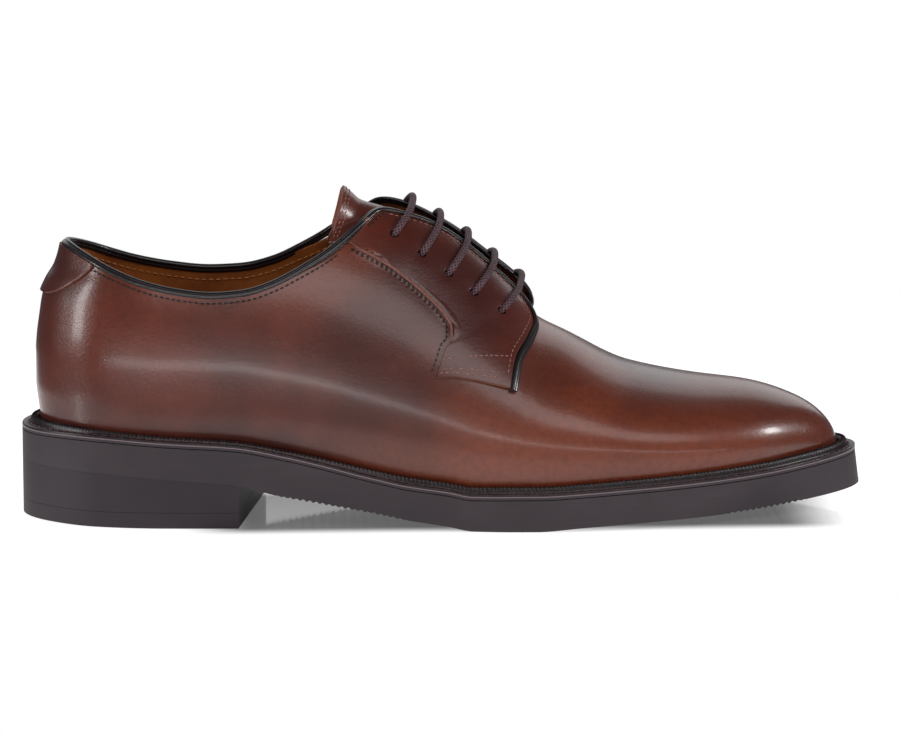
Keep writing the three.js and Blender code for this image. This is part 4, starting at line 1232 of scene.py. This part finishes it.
def make_insole():
    inset = -WALL - 2 * FIT + 0.2

    def place(u, v):
        angle = pi * u
        k = 2 * v
        over = np.where(k <= 1, k, 2 - k)
        top = k <= 1
        outer = ring(angle, 0.0, np.full_like(angle, inset))
        inner = ring(2 * pi - angle, 0.0, np.full_like(angle, inset))
        points = mix(outer, inner, over[:, None])
        dish = 1.2 * (2 * np.abs(over - 0.5)) ** 4
        points[:, 2] = sole_top(points[:, 0]) + FIT + np.where(top, INSOLE_THICKNESS - 0.6 + 0.6 * dish, 0.0)
        return points

    sock = shaped("insole_leather", 120, 56, place, [INSOLE_TAN], steps=(weld, outward))
    return on_body(sock, "insole_leather", "insole")


# Laces: how far a bar sinks into what it lies on, and how far it dives into its eyelet

LACE_SINK_ON_BINDING = 0.3
LACE_SINK_ON_FACING = 0.5
LACE_DIVE = 3.0


def lace_path(i):
    """One bar: up out of the outer eyelet, over both bound edges and down into the inner one."""
    x_eye = EYELETS["at"][i] * SHOE_LENGTH
    x_crown = EYELETS["crown_at"][i] * SHOE_LENGTH
    rows = np.linspace(0, 0.6, 200)
    row = float(np.interp(x_crown, facing_front(rows)[0], rows))
    share = np.linspace(-1, 1, 61)
    x = mix(x_crown, x_eye, share ** 2)
    across = share * EYELETS["girth"][i] * BALL_WIDTH
    angle, s = across_instep(x, across)
    radius = LACE_DIAMETER / 2
    lifts = [facing_lift(side, row, np.abs(across)) for side in (LATERAL, MEDIAL)]
    lift = mix(*lifts, smooth(-0.2, 0.2, share))
    edge = np.abs(share)
    top = FIT + FACING_THICKNESS + BINDING_GRIP + radius - LACE_SINK_ON_BINDING
    rest = FIT + FACING_THICKNESS + radius - LACE_SINK_ON_FACING
    height = lift + mix(top, rest, smooth(0.36, 0.72, edge)) - LACE_DIVE * smooth(0.82, 1.0, edge)
    path = off_last(angle, s, height)
    tail = []
    for sign in (LATERAL, MEDIAL):
        centre, normal = (v[i] for v in eyelet_centres(sign))
        tail.append(centre + normal * np.array([[-0.2], [-1.0]]))
    path = np.concatenate([tail[0][::-1], path[2:-2], tail[1]])
    return eased(resampled(eased(path, 5), 90), 7)


def make_laces():
    for i in range(len(EYELETS["at"])):
        bar = cord_mesh(f"lace_{i + 1}", lace_path(i), LACE_DIAMETER / 2, 20, [LACE])
        on_body(bar, "lace", f"lace_bar_{i + 1}")


# Stitching on the upper

def collar_run(side, below, off, pitch=2.1):
    angle = np.linspace(0.02, float(angle_at(JOIN_X - 2)), 260)
    s = topline_s(angle, side, below)
    path = off_last(angle, s, np.full_like(angle, off))
    return stitch_run(path, last_normal(angle, s), pitch, pitch * 0.76, 0.75)


def make_stitches():
    dark, light, tan = [], [], []
    for side in (LATERAL, MEDIAL):
        dark.append(collar_run(side, COLLAR_STITCH, 0.12))
        tan.append(collar_run(side, LINING_STITCH, -WALL - STITCH_LIFT, 2.6))
        path, normal, seam_rows = seam_path(side, 0.06, 1.0, 300, shift=SEAM_STITCH)
        rise = lip_rise(SEAM_STITCH, seam_rows) + 0.14
        dark.append(stitch_run(path + normal * rise[:, None], normal, 2.0, 1.5, 0.7))
        for rows, raised, runs, sizes in (
            (np.linspace(0.12, 0.97, 300), 0.02, light, (2.2, 1.6, 0.48)),
            (np.linspace(0, 0.12, 60), 0.06, dark, (2.1, 1.6, 0.7)),
        ):
            x, girth = facing_front(rows)
            lift = FIT + FACING_THICKNESS + facing_lift(side, rows, girth) + raised
            x, girth = beside(x, girth, FACING_STITCH)
            path, normal = pattern_spot(x, side, girth)
            runs.append(stitch_run(path + normal * lift[:, None], normal, *sizes))
        for depth, first in ((0.895, 0.0), (0.955, 0.0), (0.975, 0.5)):
            share = np.linspace(0.10, 0.97, 90)
            x, girth = facing_spot(np.full_like(share, depth), share)
            points, normal = pattern_spot(x, side, girth)
            off = facing_top(side, depth, share, girth) + STITCH_LIFT
            light.append(stitch_run(points + normal * off[:, None], normal, 1.9, 1.3, 0.5, first + 0.3))
    on_body(sewn("dark_stitches", dark, [DARK_THREAD]), "upper_leather")
    on_body(sewn("light_stitches", light, [LIGHT_THREAD]), "upper_leather")
    on_body(sewn("lining_stitches", tan, [TAN_THREAD]), "insole_leather")


def make_tongue_stitches():
    share = np.linspace(-0.92, 0.92, 160)
    runs = []
    for row in (0.035, 0.075):
        points, normal, off = tongue_spot(np.full_like(share, row), share)
        runs.append(stitch_run(points + normal * (off + STITCH_LIFT)[:, None], normal, 2.0, 1.4, 0.5))
    return on_body(sewn("tongue_stitches", runs, [LIGHT_THREAD]), "upper_leather")


# Studio

CAMERA_AZIMUTH, CAMERA_ELEVATION, CAMERA_DISTANCE = -3.0, 9.98, 1.8
CAMERA_TARGET = Vector((0.00255, 0.00066, 0.0507))
FOCAL_PIXELS, PHOTO_WIDTH, SENSOR = 4934.0, 900, 36.0


def placed(name, data, spot, toward):
    """A camera or light at spot that faces along toward."""
    thing = bpy.data.objects.new(name, data)
    thing.location = spot
    thing.rotation_mode = "QUATERNION"
    thing.rotation_quaternion = toward.to_track_quat("-Z", "Y")
    bpy.context.scene.collection.objects.link(thing)
    return thing


def make_camera():
    a, e = radians(CAMERA_AZIMUTH), radians(CAMERA_ELEVATION)
    back = Vector((sin(a) * cos(e), -cos(a) * cos(e), sin(e)))
    data = bpy.data.cameras.new("camera")
    data.sensor_width = SENSOR
    data.lens = FOCAL_PIXELS * SENSOR / PHOTO_WIDTH
    data.clip_start, data.clip_end = 0.05, 50
    bpy.context.scene.camera = placed("camera", data, CAMERA_TARGET + back * CAMERA_DISTANCE, -back)


def make_light(name, place, size, power, target=(0, 0, 0.05), colour=(1, 1, 1)):
    data = bpy.data.lights.new(name, "AREA")
    data.shape = "RECTANGLE"
    data.size, data.size_y = size
    data.energy = power
    data.color = colour
    placed(name, data, place, Vector(target) - Vector(place))


def make_world():
    world = bpy.data.worlds.new("studio")
    world.use_nodes = True
    tree = world.node_tree
    tree.nodes.clear()
    output = tree.nodes.new("ShaderNodeOutputWorld")
    share = tree.nodes.new("ShaderNodeMixShader")
    ray = tree.nodes.new("ShaderNodeLightPath")
    tree.links.new(ray.outputs["Is Camera Ray"], share.inputs[0])
    felt, seen = ((0.86, 0.80, 0.88, 1), 0.12), ((1, 1, 1, 1), 1.0)
    for slot, (colour, strength) in enumerate((felt, seen), 1):
        sky = tree.nodes.new("ShaderNodeBackground")
        sky.inputs["Color"].default_value = colour
        sky.inputs["Strength"].default_value = strength
        tree.links.new(sky.outputs[0], share.inputs[slot])
    tree.links.new(share.outputs[0], output.inputs["Surface"])
    bpy.context.scene.world = world


def floor_finish():
    f = Finish("floor_white")
    place = f.place()
    haze = f.noise(place, 3, 2, 0.5)
    x, y, _ = f.parts(place)
    # Painted shade: in a patch under and round the shoe the floor turns near black and stops glowing, so the
    # shoe's contact shadow and reflection show there
    painted_shade = f.range(y, -0.050, -0.036) * f.range(y, 0.034, 0.020)
    painted_shade = painted_shade * f.range(x, -0.10, -0.07) * f.range(x, 0.15, 0.12) * 0.85
    ground = f.blend(painted_shade, (0.84, 0.84, 0.85), (0.02, 0.02, 0.02))
    glow = f.blend(painted_shade, (1.0, 1.0, 1.0), (0.0, 0.0, 0.0))
    return f.surface(base_color=ground, roughness=0.07 + haze * 0.06,
                     emission_color=glow, emission_strength=0.8)


def make_floor():
    bm = bmesh.new()
    bmesh.ops.create_grid(bm, x_segments=8, y_segments=8, size=1)
    for vert in bm.verts:
        vert.co = (vert.co.x * 0.30, vert.co.y * 0.24 + 0.11, 0)
    floor = new_object("floor", mesh_of(bm, "floor"), [floor_finish()])
    floor.location.z = -0.0003


def make_studio():
    bpy.context.scene.view_settings.view_transform = "Standard"
    make_world()
    make_floor()
    make_light("overhead", (0.3, -1.3, 1.05), (1.7, 0.6), 9, colour=(1.0, 0.94, 0.93))
    make_light("front_card", (0.05, -0.50, 0.004), (1.1, 0.12), 9, target=(0.05, -0.50, 1.0))
    make_light("left_strip", (-1.4, -0.38, 0.42), (0.25, 0.7), 7)
    make_light("right_box", (1.6, -0.40, 0.75), (0.3, 0.3), 9)
    make_light("back_wash", (0.0, 1.6, 0.9), (2.6, 1.2), 10, target=(0, 0.2, 0))


make_camera()
make_upper()
make_lining()
for facing_key, facing_side in SIDES.items():
    make_facing(facing_key, facing_side)
    make_seam_edge(facing_key, facing_side)
make_heel_tab()
make_binding()
make_tongue()
make_welt()
make_welt_stitches()
make_outsole()
make_heel()
make_insole()
make_laces()
make_stitches()
make_tongue_stitches()
make_studio()
